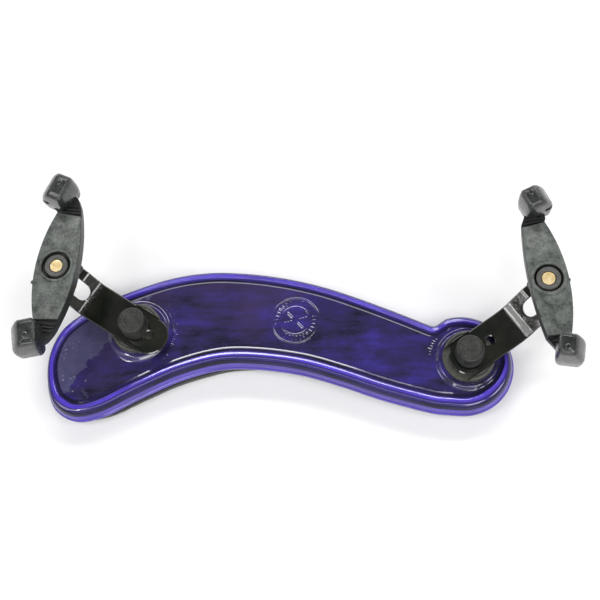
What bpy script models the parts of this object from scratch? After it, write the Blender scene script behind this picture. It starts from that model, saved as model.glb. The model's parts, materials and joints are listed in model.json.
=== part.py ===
"""A violin shoulder rest: a curved plastic plate on a foam pad, with two clamped steel arms.

Each arm swivels on a thumb screw and ends in two rolled eyes. The eyes hold a tilting pivot
nut, a height wheel raises the brass stem that passes through it, and a fork with two rubber
boots turns on the stem's hub.

Frame: metres, +Z up, X along the plate. The origin is on the foam pad's flat underside.
The violin lies on the forks, and its edges sit between the left and the right boots.
"""

import math

import bmesh
import bpy
from mathutils import Matrix, Vector

MM = 0.001
GAP = 0.3 * MM  # between pieces that touch on the real object
MERGE = 0.00001
OFF_EDGES = Matrix.Rotation(math.radians(4), 4, "Z")  # keeps a cutter's edges off its target's

# ---- plate -------------------------------------------------------------------------------
FLOOR_TOP = 10.9 * MM  # height of the plate's floor at its middle
FLOOR_THICK = 2.4 * MM
ARCH_RADIUS = 1630 * MM  # the plate falls towards both ends on this radius
RIM_RISE = 2.6 * MM  # rim bead above the floor
SKIRT_DROP = 6.2 * MM  # skirt's lower edge under the floor's top
RIM_WIDTH = 6.1 * MM
SKIRT_INNER = 2.4 * MM
EDGE_STEP = 5.2 * MM  # spacing of the outline's points

# The widest outline, in millimetres: near edge from the right lobe to the left end, and
# back along the far edge to the notch.
OUTLINE_GUIDES = [
    (82.5, -27.2), (70.0, -27.7), (60.7, -26.1), (44.0, -21.7), (27.0, -16.1), (9.9, -11.4),
    (-9.5, -9.0), (-24.7, -9.5), (-41.8, -14.5), (-58.7, -22.6), (-74.0, -30.4),
    (-86.0, -32.4), (-95.6, -27.2), (-100.2, -16.5), (-100.6, -3.0), (-95.2, 9.2),
    (-82.5, 18.8), (-66.5, 26.0), (-49.0, 31.9), (-33.0, 34.5), (-17.5, 34.4), (0.7, 32.2),
    (18.4, 28.2), (35.6, 22.4), (52.7, 15.8), (66.2, 10.3),
]
LOBE_CENTRE = (78.0, -6.6)
LOBE_RADIUS = 21.5
LOBE_START = 126.5  # degrees, at the notch
LOBE_END = -96.0
NOTCH_RADIUS = 1.3

# ---- foam and adhesive film --------------------------------------------------------------
FILM_TOP = FLOOR_THICK + GAP  # under the floor's top
FILM_THICK = 0.5 * MM
FOAM_TOP = FILM_TOP + FILM_THICK + GAP
FOAM_CORE_INSET = 3.4 * MM  # inside the skirt
FOAM_FOOT_INSET = 1.9 * MM  # below the skirt
FOAM_EDGE = 0.8 * MM

# ---- seats -------------------------------------------------------------------------------
BOSS_RADIUS = 13.3 * MM
BOSS_HEIGHT = 1.4 * MM
INSERT_RADIUS = 3.5 * MM
DISC_RADIUS = 10.9 * MM
DISC_BOTTOM = BOSS_HEIGHT + GAP
DISC_WEB = 1.8 * MM
DISC_HEIGHT = 3.5 * MM
SCREW_RADIUS = 2.0 * MM
SCREW_BORE = 2.35 * MM
SCREW_FOOT = -2.0 * MM

# ---- arms --------------------------------------------------------------------------------
ARM_WIDTH = 16.6 * MM
ARM_THICK = 1.5 * MM
ARM_BOTTOM = DISC_BOTTOM + DISC_WEB + GAP
ARM_MID = ARM_BOTTOM + ARM_THICK / 2
ARM_TOP = ARM_BOTTOM + ARM_THICK
CHANNEL_WIDTH = ARM_WIDTH + 2 * GAP
SPARE_HOLE = 2.0 * MM
SLOT_WIDTH = 7.0 * MM
EYE_RADIUS = 3.0 * MM
EYE_BORE = 1.7 * MM

# ---- thumb knob --------------------------------------------------------------------------
WASHER_RADIUS = 5.3 * MM
WASHER_THICK = 0.8 * MM
KNOB_BOTTOM = ARM_TOP + GAP + WASHER_THICK + GAP
KNOB_HEIGHT = 7.4 * MM
KNOB_BASE_RADIUS = 6.0 * MM
KNOB_TOP_RADIUS = 5.8 * MM

# ---- pivot nut, height wheel and stem ----------------------------------------------------
NUT_RADIUS = 3.9 * MM
NUT_LENGTH = SLOT_WIDTH - 2 * GAP
NUT_PIN_RADIUS = EYE_BORE - GAP
NUT_PIN_REACH = ARM_WIDTH / 2 - 0.3 * MM
STEM_RADIUS = 1.95 * MM
STEM_BORE = STEM_RADIUS + GAP
STEM_HEAD_RADIUS = 2.7 * MM
STEM_HEAD_LENGTH = 5.0 * MM
STEM_FOOT = -26.0 * MM  # under the fork's deck
WHEEL_RADIUS = 5.6 * MM
WHEEL_BOTTOM = NUT_RADIUS + GAP
WHEEL_THICK = 2.3 * MM

# ---- hub and fork, with heights from the deck's top --------------------------------------
HUB_RADIUS = 4.9 * MM
HUB_TOP = 0.3 * MM
HUB_FLANGE_RADIUS = 6.4 * MM
HUB_FLANGE_THICK = 1.2 * MM
FORK_THICK = 6.1 * MM
FORK_BORE = 5.25 * MM
COLLAR_RADIUS = 7.2 * MM
COLLAR_HEIGHT = 0.8 * MM
OUTER_EDGE_RADIUS = 72 * MM
DECK_HALF_LENGTH = 24 * MM
POCKET_FLOOR = -2.6 * MM
POCKET_TURN = 6.0  # degrees between the pocket's step and a square cut

# ---- rubber boots, in the fork's frame ---------------------------------------------------
BOOT_BOTTOM = -8.2 * MM
BOOT_TOP = 8.8 * MM
BOOT_LEVELS = [  # height, half length, reach inwards, reach outwards
    (BOOT_BOTTOM, 4.7 * MM, 5.2 * MM, 5.4 * MM),
    (-0.5 * MM, 5.3 * MM, 5.9 * MM, 6.1 * MM),
    (BOOT_TOP, 4.6 * MM, 5.0 * MM, 1.2 * MM),
]
BOOT_TURN = 17.0  # degrees, each boot turned towards the other one on its fork
BOOT_ROUND = 1.7 * MM
PEG_SIZE = (5.6 * MM, 4.4 * MM)
PEG_TOP = 2.6 * MM

# Seat place on the plate, arm direction above the X axis, bend, fork pose and boots of each
# side. A stretch makes the boots longer along the fork only.
SIDES = {
    "left": {
        "outward": -1,
        "seat": (-60.5 * MM, 6.7 * MM),
        "arm_angle": 32.0,
        "inner_end": -7.4 * MM,
        "spare_hole": -7.0 * MM,
        "bend_at": 25.4 * MM,
        "bend_radius": 4.0 * MM,
        "bend_angle": 48.0,
        "rise_length": 14.6 * MM,
        "deck_height": 15.0 * MM,
        "fork_lean": 5.8,
        "slot_reach": 9.0 * MM,
        "fork_half_width": {"inner": 8.8 * MM, "outer": 9.2 * MM},
        "inner_edge_radius": 90 * MM,
        "tip_over_boot": 2.0 * MM,
        "tip_round": 6.5 * MM,
        "boot_reach": {"back": 33.4 * MM, "front": 33.0 * MM},
        "boot_offset": 5.4 * MM,
        "boot_scale": {"back": 1.06, "front": 1.06},
        "boot_stretch": 1.18,
    },
    "right": {
        "outward": 1,
        "seat": (80.7 * MM, -4.9 * MM),
        "arm_angle": 37.5,
        "inner_end": 0.0,
        "spare_hole": 10.9 * MM,
        "bend_at": 23.7 * MM,
        "bend_radius": 13.0 * MM,
        "bend_angle": 38.0,
        "rise_length": 18.2 * MM,
        "deck_height": 18.6 * MM,
        "fork_lean": -10.9,
        "slot_reach": 7.8 * MM,
        "fork_half_width": {"inner": 7.6 * MM, "outer": 8.0 * MM},
        "inner_edge_radius": 150 * MM,
        "tip_over_boot": 1.0 * MM,
        "tip_round": 8.5 * MM,
        "boot_reach": {"back": 33.0 * MM, "front": 30.8 * MM},
        "boot_offset": 1.7 * MM,
        "boot_scale": {"back": 1.0, "front": 0.95},
        "boot_stretch": 1.0,
    },
}

# Colour, roughness, metallic value
FINISHES = {
    "purple_plastic": ((0.10, 0.05, 0.42), 0.12, 0.0),
    "adhesive": ((0.16, 0.14, 0.36), 0.35, 0.0),
    "foam": ((0.015, 0.015, 0.017), 0.95, 0.0),
    "seat_plastic": ((0.17, 0.17, 0.16), 0.55, 0.0),
    "lacquered_steel": ((0.012, 0.013, 0.012), 0.10, 0.0),
    "zinc_steel": ((0.55, 0.55, 0.53), 0.32, 1.0),
    "knob_plastic": ((0.035, 0.035, 0.035), 0.50, 0.0),
    "brass": ((0.78, 0.60, 0.28), 0.25, 1.0),
    "wheel_plastic": ((0.03, 0.03, 0.03), 0.45, 0.0),
    "filled_nylon": ((0.09, 0.10, 0.095), 0.60, 0.0),
    "hub_plastic": ((0.12, 0.12, 0.12), 0.50, 0.0),
    "rubber": ((0.045, 0.048, 0.048), 0.45, 0.0),
}

PARTS = bpy.data.collections.new("shoulder_rest")
CUTTERS = bpy.data.collections.new("shoulder_rest_cutters")


def clear_scene():
    """Remove what is in the scene and link this object's two collections."""
    for obj in list(bpy.data.objects):
        bpy.data.objects.remove(obj, do_unlink=True)
    bpy.context.scene.collection.children.link(PARTS)
    bpy.context.scene.collection.children.link(CUTTERS)


def finish_material(obj, finish):
    """Give obj a Principled material of its own."""
    colour, roughness, metallic = FINISHES[finish]
    material = bpy.data.materials.new(obj.name + "_" + finish)
    material.use_nodes = True
    shader = material.node_tree.nodes["Principled BSDF"]
    shader.inputs["Base Color"].default_value = (*colour, 1.0)
    shader.inputs["Roughness"].default_value = roughness
    shader.inputs["Metallic"].default_value = metallic
    obj.data.materials.append(material)


def place(obj, parent, finish=None):
    """Put obj among the parts, or among the cutters when it has no finish."""
    obj.parent = parent
    if finish is None:
        CUTTERS.objects.link(obj)
        obj.hide_render = True
        obj.display_type = "WIRE"
        return obj
    PARTS.objects.link(obj)
    finish_material(obj, finish)
    obj.data.shade_smooth()
    obj.data.set_sharp_from_angle(angle=math.radians(35))
    return obj


def mesh_object(name, bm, parent, finish=None):
    """Turn a bmesh into a placed object."""
    mesh = bpy.data.meshes.new(name)
    bm.to_mesh(mesh)
    bm.free()
    return place(bpy.data.objects.new(name, mesh), parent, finish)


def frame_empty(name, matrix, parent=None, parent_matrix=None):
    """An empty that carries a joint's frame, placed by its matrix in the world."""
    empty = bpy.data.objects.new(name, None)
    empty.empty_display_size = 5 * MM
    empty.parent = parent
    empty.matrix_basis = matrix if parent is None else parent_matrix.inverted() @ matrix
    PARTS.objects.link(empty)
    return empty


def boolean(obj, cutter, operation):
    """Add a Boolean modifier."""
    modifier = obj.modifiers.new(cutter.name, "BOOLEAN")
    modifier.operation = operation
    modifier.solver = "EXACT"
    modifier.object = cutter


def turned(name, profile, parent, finish=None, steps=32):
    """A turned piece from (radius, height) points that run down its outer side."""
    closed = profile[0][0] > 0
    bm = bmesh.new()
    verts = [bm.verts.new((radius, 0.0, height)) for radius, height in profile]
    pairs = list(zip(verts, verts[1:]))
    if closed:
        pairs.append((verts[-1], verts[0]))
    for pair in pairs:
        bm.edges.new(pair)
    obj = mesh_object(name, bm, parent, finish)
    screw = obj.modifiers.new("turn", "SCREW")
    screw.axis = "Z"
    screw.angle = math.tau
    screw.steps = steps
    screw.render_steps = steps
    screw.use_merge_vertices = True
    screw.merge_threshold = MERGE
    return obj


def ring(name, outer, inner, low, high, parent, finish, chamfer=0.0, steps=32):
    """A turned ring with its outer edges chamfered."""
    profile = [
        (inner, high), (outer - chamfer, high), (outer, high - chamfer),
        (outer, low + chamfer), (outer - chamfer, low), (inner, low),
    ]
    if chamfer == 0.0:
        profile = [(inner, high), (outer, high), (outer, low), (inner, low)]
    return turned(name, profile, parent, finish, steps)


def rod(name, radius, length, matrix, parent, finish=None, sides=24):
    """A cylinder along the matrix's Z axis, centred on its origin."""
    bm = bmesh.new()
    bmesh.ops.create_cone(
        bm, cap_ends=True, segments=sides, radius1=radius, radius2=radius, depth=length
    )
    bmesh.ops.transform(bm, matrix=matrix, verts=bm.verts)
    return mesh_object(name, bm, parent, finish)


def block(name, low, high, parent, finish=None):
    """A box between two corners."""
    size = Vector(high) - Vector(low)
    middle = (Vector(high) + Vector(low)) / 2
    bm = bmesh.new()
    matrix = Matrix.Translation(middle) @ Matrix.Diagonal((*size, 1.0))
    bmesh.ops.create_cube(bm, size=1.0, matrix=matrix)
    return mesh_object(name, bm, parent, finish)


def extruded(name, outline, low, high, parent, finish=None, matrix=None):
    """A flat outline in XY made solid between two heights."""
    curve = bpy.data.curves.new(name, "CURVE")
    curve.dimensions = "2D"
    curve.fill_mode = "BOTH"
    curve.extrude = (high - low) / 2
    spline = curve.splines.new("POLY")
    spline.points.add(len(outline) - 1)
    for point, (x, y) in zip(spline.points, outline):
        point.co = (x, y, 0.0, 1.0)
    spline.use_cyclic_u = True
    flat = bpy.data.objects.new(name, curve)
    CUTTERS.objects.link(flat)
    evaluated = flat.evaluated_get(bpy.context.evaluated_depsgraph_get())
    mesh = bpy.data.meshes.new_from_object(evaluated)
    bpy.data.objects.remove(flat, do_unlink=True)
    bm = bmesh.new()
    bm.from_mesh(mesh)
    bmesh.ops.remove_doubles(bm, verts=bm.verts, dist=MERGE)
    bmesh.ops.recalc_face_normals(bm, faces=bm.faces)
    bmesh.ops.translate(bm, verts=bm.verts, vec=(0.0, 0.0, (low + high) / 2))
    if matrix is not None:
        bmesh.ops.transform(bm, matrix=matrix, verts=bm.verts)
    return mesh_object(name, bm, parent, finish)


def arc(centre, radius, start, end, steps):
    """Points on a circle, both ends included, with angles in degrees."""
    points = []
    for k in range(steps + 1):
        angle = math.radians(start + (end - start) * k / steps)
        points.append(
            (centre[0] + radius * math.cos(angle), centre[1] + radius * math.sin(angle))
        )
    return points


def smooth_path(guides, step):
    """Points about a step apart on a Catmull-Rom curve, without the first and last guides."""
    points = []
    for before, a, b, after in zip(guides, guides[1:], guides[2:], guides[3:]):
        before, a, b, after = (Vector(p) for p in (before, a, b, after))
        count = max(1, round((b - a).length / step))
        for k in range(count):
            t = k / count
            point = (
                2 * a
                + (b - before) * t
                + (2 * before - 5 * a + 4 * b - after) * t**2
                + (3 * a - before - 3 * b + after) * t**3
            ) / 2
            points.append(tuple(point))
    points.append(tuple(guides[-2]))
    return points


def rounded_corner(before, corner, after, radius, steps):
    """A small arc that replaces the corner between two straight lines."""
    before, corner, after = Vector(before), Vector(corner), Vector(after)
    back = (before - corner).normalized()
    ahead = (after - corner).normalized()
    half_angle = back.angle(ahead) / 2
    middle = corner + (back + ahead).normalized() * radius / math.sin(half_angle)
    first = corner + back * radius / math.tan(half_angle) - middle
    last = corner + ahead * radius / math.tan(half_angle) - middle
    turn = first.angle_signed(last)
    points = []
    for k in range(steps + 1):
        point = middle + Matrix.Rotation(-turn * k / steps, 2) @ first
        points.append(tuple(point))
    return points


def plate_outline():
    """The plate's widest outline, clockwise from above, with its outward directions."""
    guides = OUTLINE_GUIDES
    swept = smooth_path([*guides, (80.0, 5.0)], EDGE_STEP / MM)
    lobe = arc(LOBE_CENTRE, LOBE_RADIUS, LOBE_START, LOBE_END, 16)
    notch = rounded_corner(swept[-2], swept[-1], lobe[1], NOTCH_RADIUS, 4)
    points = [*swept[:-1], *notch, *lobe[1:-1]]
    points = [Vector(p) * MM for p in points]
    outwards = []
    for k, point in enumerate(points):
        along = points[(k + 1) % len(points)] - points[k - 1]
        outwards.append(Vector((-along.y, along.x)).normalized())
    return points, outwards


def floor_height(x):
    """Height of the plate's floor over the ground at a place along X."""
    return FLOOR_TOP - x * x / (2 * ARCH_RADIUS)


def lofted_outline(name, loops, finish):
    """A closed solid from loops of the plate's outline, from the top middle to the bottom.

    Each loop is (inset, height, flat): height counts from the floor, or from the ground when
    flat is true. The first and last loops are filled.
    """
    points, outwards = plate_outline()
    bm = bmesh.new()
    rows = []
    for inset, height, flat in loops:
        row = []
        for point, outward in zip(points, outwards):
            x, y = point - outward * inset
            base = 0.0 if flat else floor_height(x)
            row.append(bm.verts.new((x, y, base + height)))
        rows.append(row)
    for upper, lower in zip(rows, rows[1:]):
        for k in range(len(upper)):
            bm.faces.new((upper[k - 1], upper[k], lower[k], lower[k - 1]))
    caps = [bm.faces.new(rows[0]), bm.faces.new(rows[-1])]
    bmesh.ops.triangulate(bm, faces=caps, ngon_method="BEAUTY")
    bmesh.ops.recalc_face_normals(bm, faces=bm.faces)
    return mesh_object(name, bm, None, finish)


def make_plate():
    """The curved plate: floor, rounded rim bead and drafted skirt."""
    loops = [
        (RIM_WIDTH, 0.0, False),
        (5.6 * MM, 1.2 * MM, False),
        (4.7 * MM, 2.3 * MM, False),
        (3.4 * MM, RIM_RISE, False),
        (2.1 * MM, 2.2 * MM, False),
        (1.3 * MM, 1.2 * MM, False),
        (0.9 * MM, -0.6 * MM, False),
        (0.0, -5.5 * MM, False),
        (0.5 * MM, -SKIRT_DROP, False),
        (SKIRT_INNER - 0.3 * MM, -SKIRT_DROP, False),
        (SKIRT_INNER, -5.8 * MM, False),
        (SKIRT_INNER + 0.5 * MM, -3.0 * MM, False),
        (SKIRT_INNER + 1.1 * MM, -FLOOR_THICK, False),
    ]
    return lofted_outline("plate", loops, "purple_plastic")


def make_film():
    """The double-sided adhesive film between the plate and the foam."""
    loops = [
        (4.6 * MM, -FILM_TOP, False),
        (4.6 * MM, -FILM_TOP - FILM_THICK, False),
    ]
    return lofted_outline("adhesive_film", loops, "adhesive")


def make_foam():
    """The foam pad: a core inside the skirt and a wider foot with a flat underside."""
    skirt_gap = SKIRT_DROP + GAP
    loops = [
        (FOAM_CORE_INSET + FOAM_EDGE, -FOAM_TOP, False),
        (FOAM_CORE_INSET, -FOAM_TOP - FOAM_EDGE, False),
        (FOAM_CORE_INSET, -skirt_gap, False),
        (FOAM_FOOT_INSET + 0.3 * MM, -skirt_gap, False),
        (FOAM_FOOT_INSET, 0.9 * MM, True),
        (FOAM_FOOT_INSET + 0.6 * MM, 0.0, True),
    ]
    return lofted_outline("foam_pad", loops, "foam")


def frame_matrix(origin, along, across, up):
    """A matrix from an origin and three unit axes."""
    return Matrix.Translation(origin) @ Matrix((along, across, up)).transposed().to_4x4()


def seat_matrix(spec):
    """The clamp screw's frame: on the floor, Z along the screw, X along the arm."""
    x, y = spec["seat"]
    up = Vector((x / ARCH_RADIUS, 0.0, 1.0)).normalized()
    angle = math.radians(spec["arm_angle"])
    reach = Vector((spec["outward"] * math.cos(angle), math.sin(angle), 0.0))
    along = (reach - up * reach.dot(up)).normalized()
    return frame_matrix((x, y, floor_height(x)), along, up.cross(along), up)


def tip_point(spec):
    """The pivot's place in the seat frame."""
    angle = math.radians(spec["bend_angle"])
    return Vector((
        spec["bend_at"] + spec["rise_length"] * math.cos(angle),
        0.0,
        ARM_MID + spec["rise_length"] * math.sin(angle),
    ))


def pivot_matrix(spec, seat):
    """The pivot nut's frame: Y along the pivot pins, Z up the stem."""
    pins = seat.to_3x3() @ Vector((0.0, 1.0, 0.0))
    up = Vector((0.0, 0.0, 1.0))
    up = (up - pins * up.dot(pins)).normalized()
    return frame_matrix(seat @ tip_point(spec), pins.cross(up), pins, up)


def fork_matrix(spec, pivot):
    """The fork's frame: on the deck over the pivot, X along the fork, towards far +Y."""
    up = pivot.to_3x3() @ Vector((0.0, 0.0, 1.0))
    lean = math.radians(spec["fork_lean"])
    along = Vector((math.sin(lean), math.cos(lean), 0.0))
    along = (along - up * along.dot(up)).normalized()
    deck = pivot.to_translation() + up * spec["deck_height"]
    return frame_matrix(deck, along, up.cross(along), up)


def add_seat_to_plate(side, plate, seat):
    """Raise the boss on the plate and bore it for the threaded insert."""
    boss = turned(
        side + "_boss",
        [
            (0.0, BOSS_HEIGHT), (BOSS_RADIUS - 0.7 * MM, BOSS_HEIGHT),
            (BOSS_RADIUS, 0.5 * MM), (BOSS_RADIUS, -1.1 * MM), (0.0, -1.1 * MM),
        ],
        seat,
        steps=40,
    )
    boolean(plate, boss, "UNION")
    bore = rod(side + "_insert_bore", INSERT_RADIUS + GAP, 12 * MM, OFF_EDGES, seat)
    boolean(plate, bore, "DIFFERENCE")
    ring(
        side + "_threaded_insert", INSERT_RADIUS, SCREW_BORE,
        -2.2 * MM, BOSS_HEIGHT - 0.2 * MM, seat, "brass", 0.3 * MM, 24,
    )


def make_seat_disc(side, seat):
    """The disc that turns with the arm, with a channel that keys the strip."""
    disc = ring(
        side + "_seat_disc", DISC_RADIUS, SCREW_BORE,
        DISC_BOTTOM, DISC_BOTTOM + DISC_HEIGHT, seat, "seat_plastic", 0.4 * MM, 40,
    )
    half = CHANNEL_WIDTH / 2
    reach = 2 * DISC_RADIUS
    channel = block(
        side + "_disc_channel",
        (-reach, -half, DISC_BOTTOM + DISC_WEB), (reach, half, 2 * ARM_TOP), seat,
    )
    boolean(disc, channel, "DIFFERENCE")


def strip_stations(spec):
    """Points (x, z), slopes and half widths along the strip's middle, in the seat frame."""
    half = ARM_WIDTH / 2
    stations = []
    for degrees in (90, 78, 62, 46, 30, 14, 0):
        angle = math.radians(degrees)
        x = spec["inner_end"] - half * math.sin(angle)
        width = max(half * math.cos(angle), 0.9 * MM)
        stations.append((x, ARM_MID, 0.0, width))
    turn = math.radians(spec["bend_angle"])
    radius = spec["bend_radius"]
    lead = radius * math.tan(turn / 2)
    start = spec["bend_at"] - lead
    steps = 8
    for k in range(steps + 1):
        angle = turn * k / steps
        x = start + radius * math.sin(angle)
        z = ARM_MID + radius * (1 - math.cos(angle))
        stations.append((x, z, angle, half))
    tip = tip_point(spec)
    stations.append((tip.x, tip.z, turn, half))
    return stations


def make_arm(side, spec, seat):
    """The bent steel strip with its slot, two screw holes and rolled eyes."""
    bm = bmesh.new()
    rows = []
    for x, z, slope, half in strip_stations(spec):
        rise = Vector((-math.sin(slope), 0.0, math.cos(slope))) * ARM_THICK / 2
        middle = Vector((x, 0.0, z))
        across = Vector((0.0, half, 0.0))
        corners = (
            middle - across - rise, middle + across - rise,
            middle + across + rise, middle - across + rise,
        )
        rows.append([bm.verts.new(corner) for corner in corners])
    for a, b in zip(rows, rows[1:]):
        for k in range(4):
            bm.faces.new((a[k - 1], a[k], b[k], b[k - 1]))
    bm.faces.new(rows[0])
    bm.faces.new(rows[-1])
    bmesh.ops.recalc_face_normals(bm, faces=bm.faces)
    arm = mesh_object(side + "_arm", bm, seat, "lacquered_steel")

    tip = tip_point(spec)
    sideways = Matrix.Rotation(math.radians(90), 4, "X")
    at_tip = Matrix.Translation(tip) @ sideways
    eyes = rod(side + "_arm_eyes", EYE_RADIUS, ARM_WIDTH - 0.02 * MM, at_tip, seat)
    boolean(arm, eyes, "UNION")

    turn = math.radians(spec["bend_angle"])
    half_slot = SLOT_WIDTH / 2
    slot = [
        *arc((-spec["slot_reach"], 0.0), half_slot, 270, 90, 10),
        (2 * EYE_RADIUS, half_slot), (2 * EYE_RADIUS, -half_slot),
    ]
    slope = Matrix.Translation(tip) @ Matrix.Rotation(-turn, 4, "Y")
    slot_cutter = extruded(side + "_arm_slot", slot, -6 * MM, 6 * MM, seat, matrix=slope)
    boolean(arm, slot_cutter, "DIFFERENCE")

    eye_bore = rod(side + "_arm_eye_bore", EYE_BORE, 2 * ARM_WIDTH, at_tip, seat)
    boolean(arm, eye_bore, "DIFFERENCE")
    for label, x, radius in (
        ("screw", 0.0, SCREW_BORE), ("spare", spec["spare_hole"], SPARE_HOLE),
    ):
        at_hole = Matrix.Translation((x, 0.0, ARM_MID))
        hole = rod(side + "_arm_" + label + "_hole", radius, 6 * ARM_THICK, at_hole, seat)
        boolean(arm, hole, "DIFFERENCE")


def make_clamp(side, seat):
    """Washer, thumb knob and its screw, on the clamp axis."""
    washer_low = ARM_TOP + GAP
    ring(
        side + "_clamp_washer", WASHER_RADIUS, SCREW_BORE,
        washer_low, washer_low + WASHER_THICK, seat, "zinc_steel", 0.15 * MM, 28,
    )
    top = KNOB_BOTTOM + KNOB_HEIGHT
    socket_top = KNOB_BOTTOM + 4.3 * MM
    turned(
        side + "_clamp_knob",
        [
            (0.0, top - 0.4 * MM), (4.6 * MM, top - 0.4 * MM), (4.9 * MM, top),
            (KNOB_TOP_RADIUS - 0.6 * MM, top), (KNOB_TOP_RADIUS, top - 0.6 * MM),
            (KNOB_BASE_RADIUS, KNOB_BOTTOM + 0.5 * MM),
            (KNOB_BASE_RADIUS - 0.5 * MM, KNOB_BOTTOM),
            (SCREW_BORE, KNOB_BOTTOM), (SCREW_BORE, socket_top), (0.0, socket_top),
        ],
        seat,
        "knob_plastic",
        36,
    )
    turned(
        side + "_clamp_screw",
        [
            (0.0, socket_top - GAP), (SCREW_RADIUS, socket_top - GAP),
            (SCREW_RADIUS, SCREW_FOOT + 0.4 * MM), (SCREW_RADIUS - 0.4 * MM, SCREW_FOOT),
            (0.0, SCREW_FOOT),
        ],
        seat,
        "zinc_steel",
        20,
    )


def make_pivot_nut(side, pivot):
    """The cross nut that tilts in the arm's eyes."""
    sideways = Matrix.Rotation(math.radians(90), 4, "X")
    nut = rod(side + "_pivot_nut", NUT_RADIUS, NUT_LENGTH, sideways, pivot, "zinc_steel", 28)
    pins = rod(side + "_nut_pins", NUT_PIN_RADIUS, 2 * NUT_PIN_REACH, sideways, pivot, sides=16)
    boolean(nut, pins, "UNION")
    bore = rod(side + "_nut_bore", STEM_BORE, 4 * NUT_RADIUS, Matrix(), pivot, sides=20)
    boolean(nut, bore, "DIFFERENCE")


def make_stem(side, pivot, fork):
    """Height wheel on the pivot nut, brass stem, and the hub the fork turns on."""
    ring(
        side + "_height_wheel", WHEEL_RADIUS, STEM_BORE,
        WHEEL_BOTTOM, WHEEL_BOTTOM + WHEEL_THICK, pivot, "wheel_plastic", 0.3 * MM, 32,
    )
    head_foot = 0.1 * MM - STEM_HEAD_LENGTH
    turned(
        side + "_stem",
        [
            (0.0, 0.1 * MM), (STEM_HEAD_RADIUS - 0.2 * MM, 0.1 * MM),
            (STEM_HEAD_RADIUS, -0.1 * MM), (STEM_HEAD_RADIUS, head_foot),
            (STEM_RADIUS, head_foot), (STEM_RADIUS, STEM_FOOT + 0.4 * MM),
            (STEM_RADIUS - 0.4 * MM, STEM_FOOT), (0.0, STEM_FOOT),
        ],
        fork,
        "brass",
        24,
    )
    flange_top = -FORK_THICK - GAP
    flange_low = flange_top - HUB_FLANGE_THICK
    turned(
        side + "_hub",
        [
            (STEM_HEAD_RADIUS + GAP, HUB_TOP), (HUB_RADIUS - 0.3 * MM, HUB_TOP),
            (HUB_RADIUS, HUB_TOP - 0.3 * MM), (HUB_RADIUS, flange_top),
            (HUB_FLANGE_RADIUS, flange_top), (HUB_FLANGE_RADIUS, flange_low),
            (STEM_BORE, flange_low), (STEM_BORE, head_foot - GAP),
            (STEM_HEAD_RADIUS + GAP, head_foot - GAP),
        ],
        fork,
        "hub_plastic",
        32,
    )


def fork_outline(spec, grow=0.0):
    """The fork's crescent outline, with its short bulge on the outer side."""
    half_width = spec["fork_half_width"]
    reach = {end: boot + spec["tip_over_boot"] for end, boot in spec["boot_reach"].items()}
    radius, rounding = spec["inner_edge_radius"], spec["tip_round"]
    inner_centre = (0.0, radius - half_width["inner"])
    starts = [math.degrees(math.asin((reach[end] - rounding) / radius)) for end in reach]
    inner = arc(inner_centre, radius + grow, 270 - starts[1], 270 + starts[0], 14)
    outer_centre = (0.0, half_width["outer"] - OUTER_EDGE_RADIUS)
    swing = math.degrees(math.asin(1.04 * DECK_HALF_LENGTH / OUTER_EDGE_RADIUS))
    outer = arc(outer_centre, OUTER_EDGE_RADIUS + grow, 90 - swing, 90 + swing, 10)
    tips = {}
    for end, sign in (("back", 1), ("front", -1)):
        x = reach[end]
        y = spec["boot_offset"]
        inner_y = inner_centre[1] - math.sqrt(radius**2 - (x - rounding) ** 2)
        corners = [
            (x - 0.46 * rounding + grow / 2, inner_y + 0.3 * rounding - grow),
            (x - 0.14 * rounding + grow, inner_y + 0.72 * rounding - grow),
            (x + grow, y - 0.4 * MM), (x - 1.2 * MM + grow, y + 1.8 * MM + grow),
            (x - 3.6 * MM, y + 3.2 * MM + grow), (x - 7.5 * MM, y + 3.0 * MM + grow),
        ]
        tips[end] = [(sign * x, y) for x, y in corners]
    points = [*inner, *tips["back"], *outer, *reversed(tips["front"])]
    return [(x, -y * spec["outward"]) for x, y in points]


def make_fork(side, spec, fork):
    """The crescent fork with its collar, two stepped pockets and a peg for each boot."""
    body = extruded(side + "_fork", fork_outline(spec), -FORK_THICK, 0.0, fork, "filled_nylon")
    at_collar = Matrix.Translation((0.0, 0.0, COLLAR_HEIGHT - 1 * MM)) @ OFF_EDGES
    collar = rod(side + "_fork_collar", COLLAR_RADIUS, 2 * MM, at_collar, fork, sides=32)
    boolean(body, collar, "UNION")
    bore = rod(side + "_fork_bore", FORK_BORE, 4 * FORK_THICK, Matrix(), fork, sides=32)
    boolean(body, bore, "DIFFERENCE")
    wide, long = 50 * MM, 30 * MM
    for end, sign in (("back", 1), ("front", -1)):
        step = Matrix.Translation((sign * DECK_HALF_LENGTH, 0.0, 0.0)) @ Matrix.Rotation(
            math.radians(POCKET_TURN * sign * spec["outward"]), 4, "Z"
        )
        corners = [(0.0, -wide), (0.0, wide), (sign * long, wide), (sign * long, -wide)]
        outline = [(step @ Vector((*corner, 0.0))).to_2d() for corner in corners]
        pocket = extruded(
            side + "_fork_pocket_" + end, outline, POCKET_FLOOR, FORK_THICK, fork
        )
        boolean(body, pocket, "DIFFERENCE")
        make_boot(side, spec, end, sign, body, fork)


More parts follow.
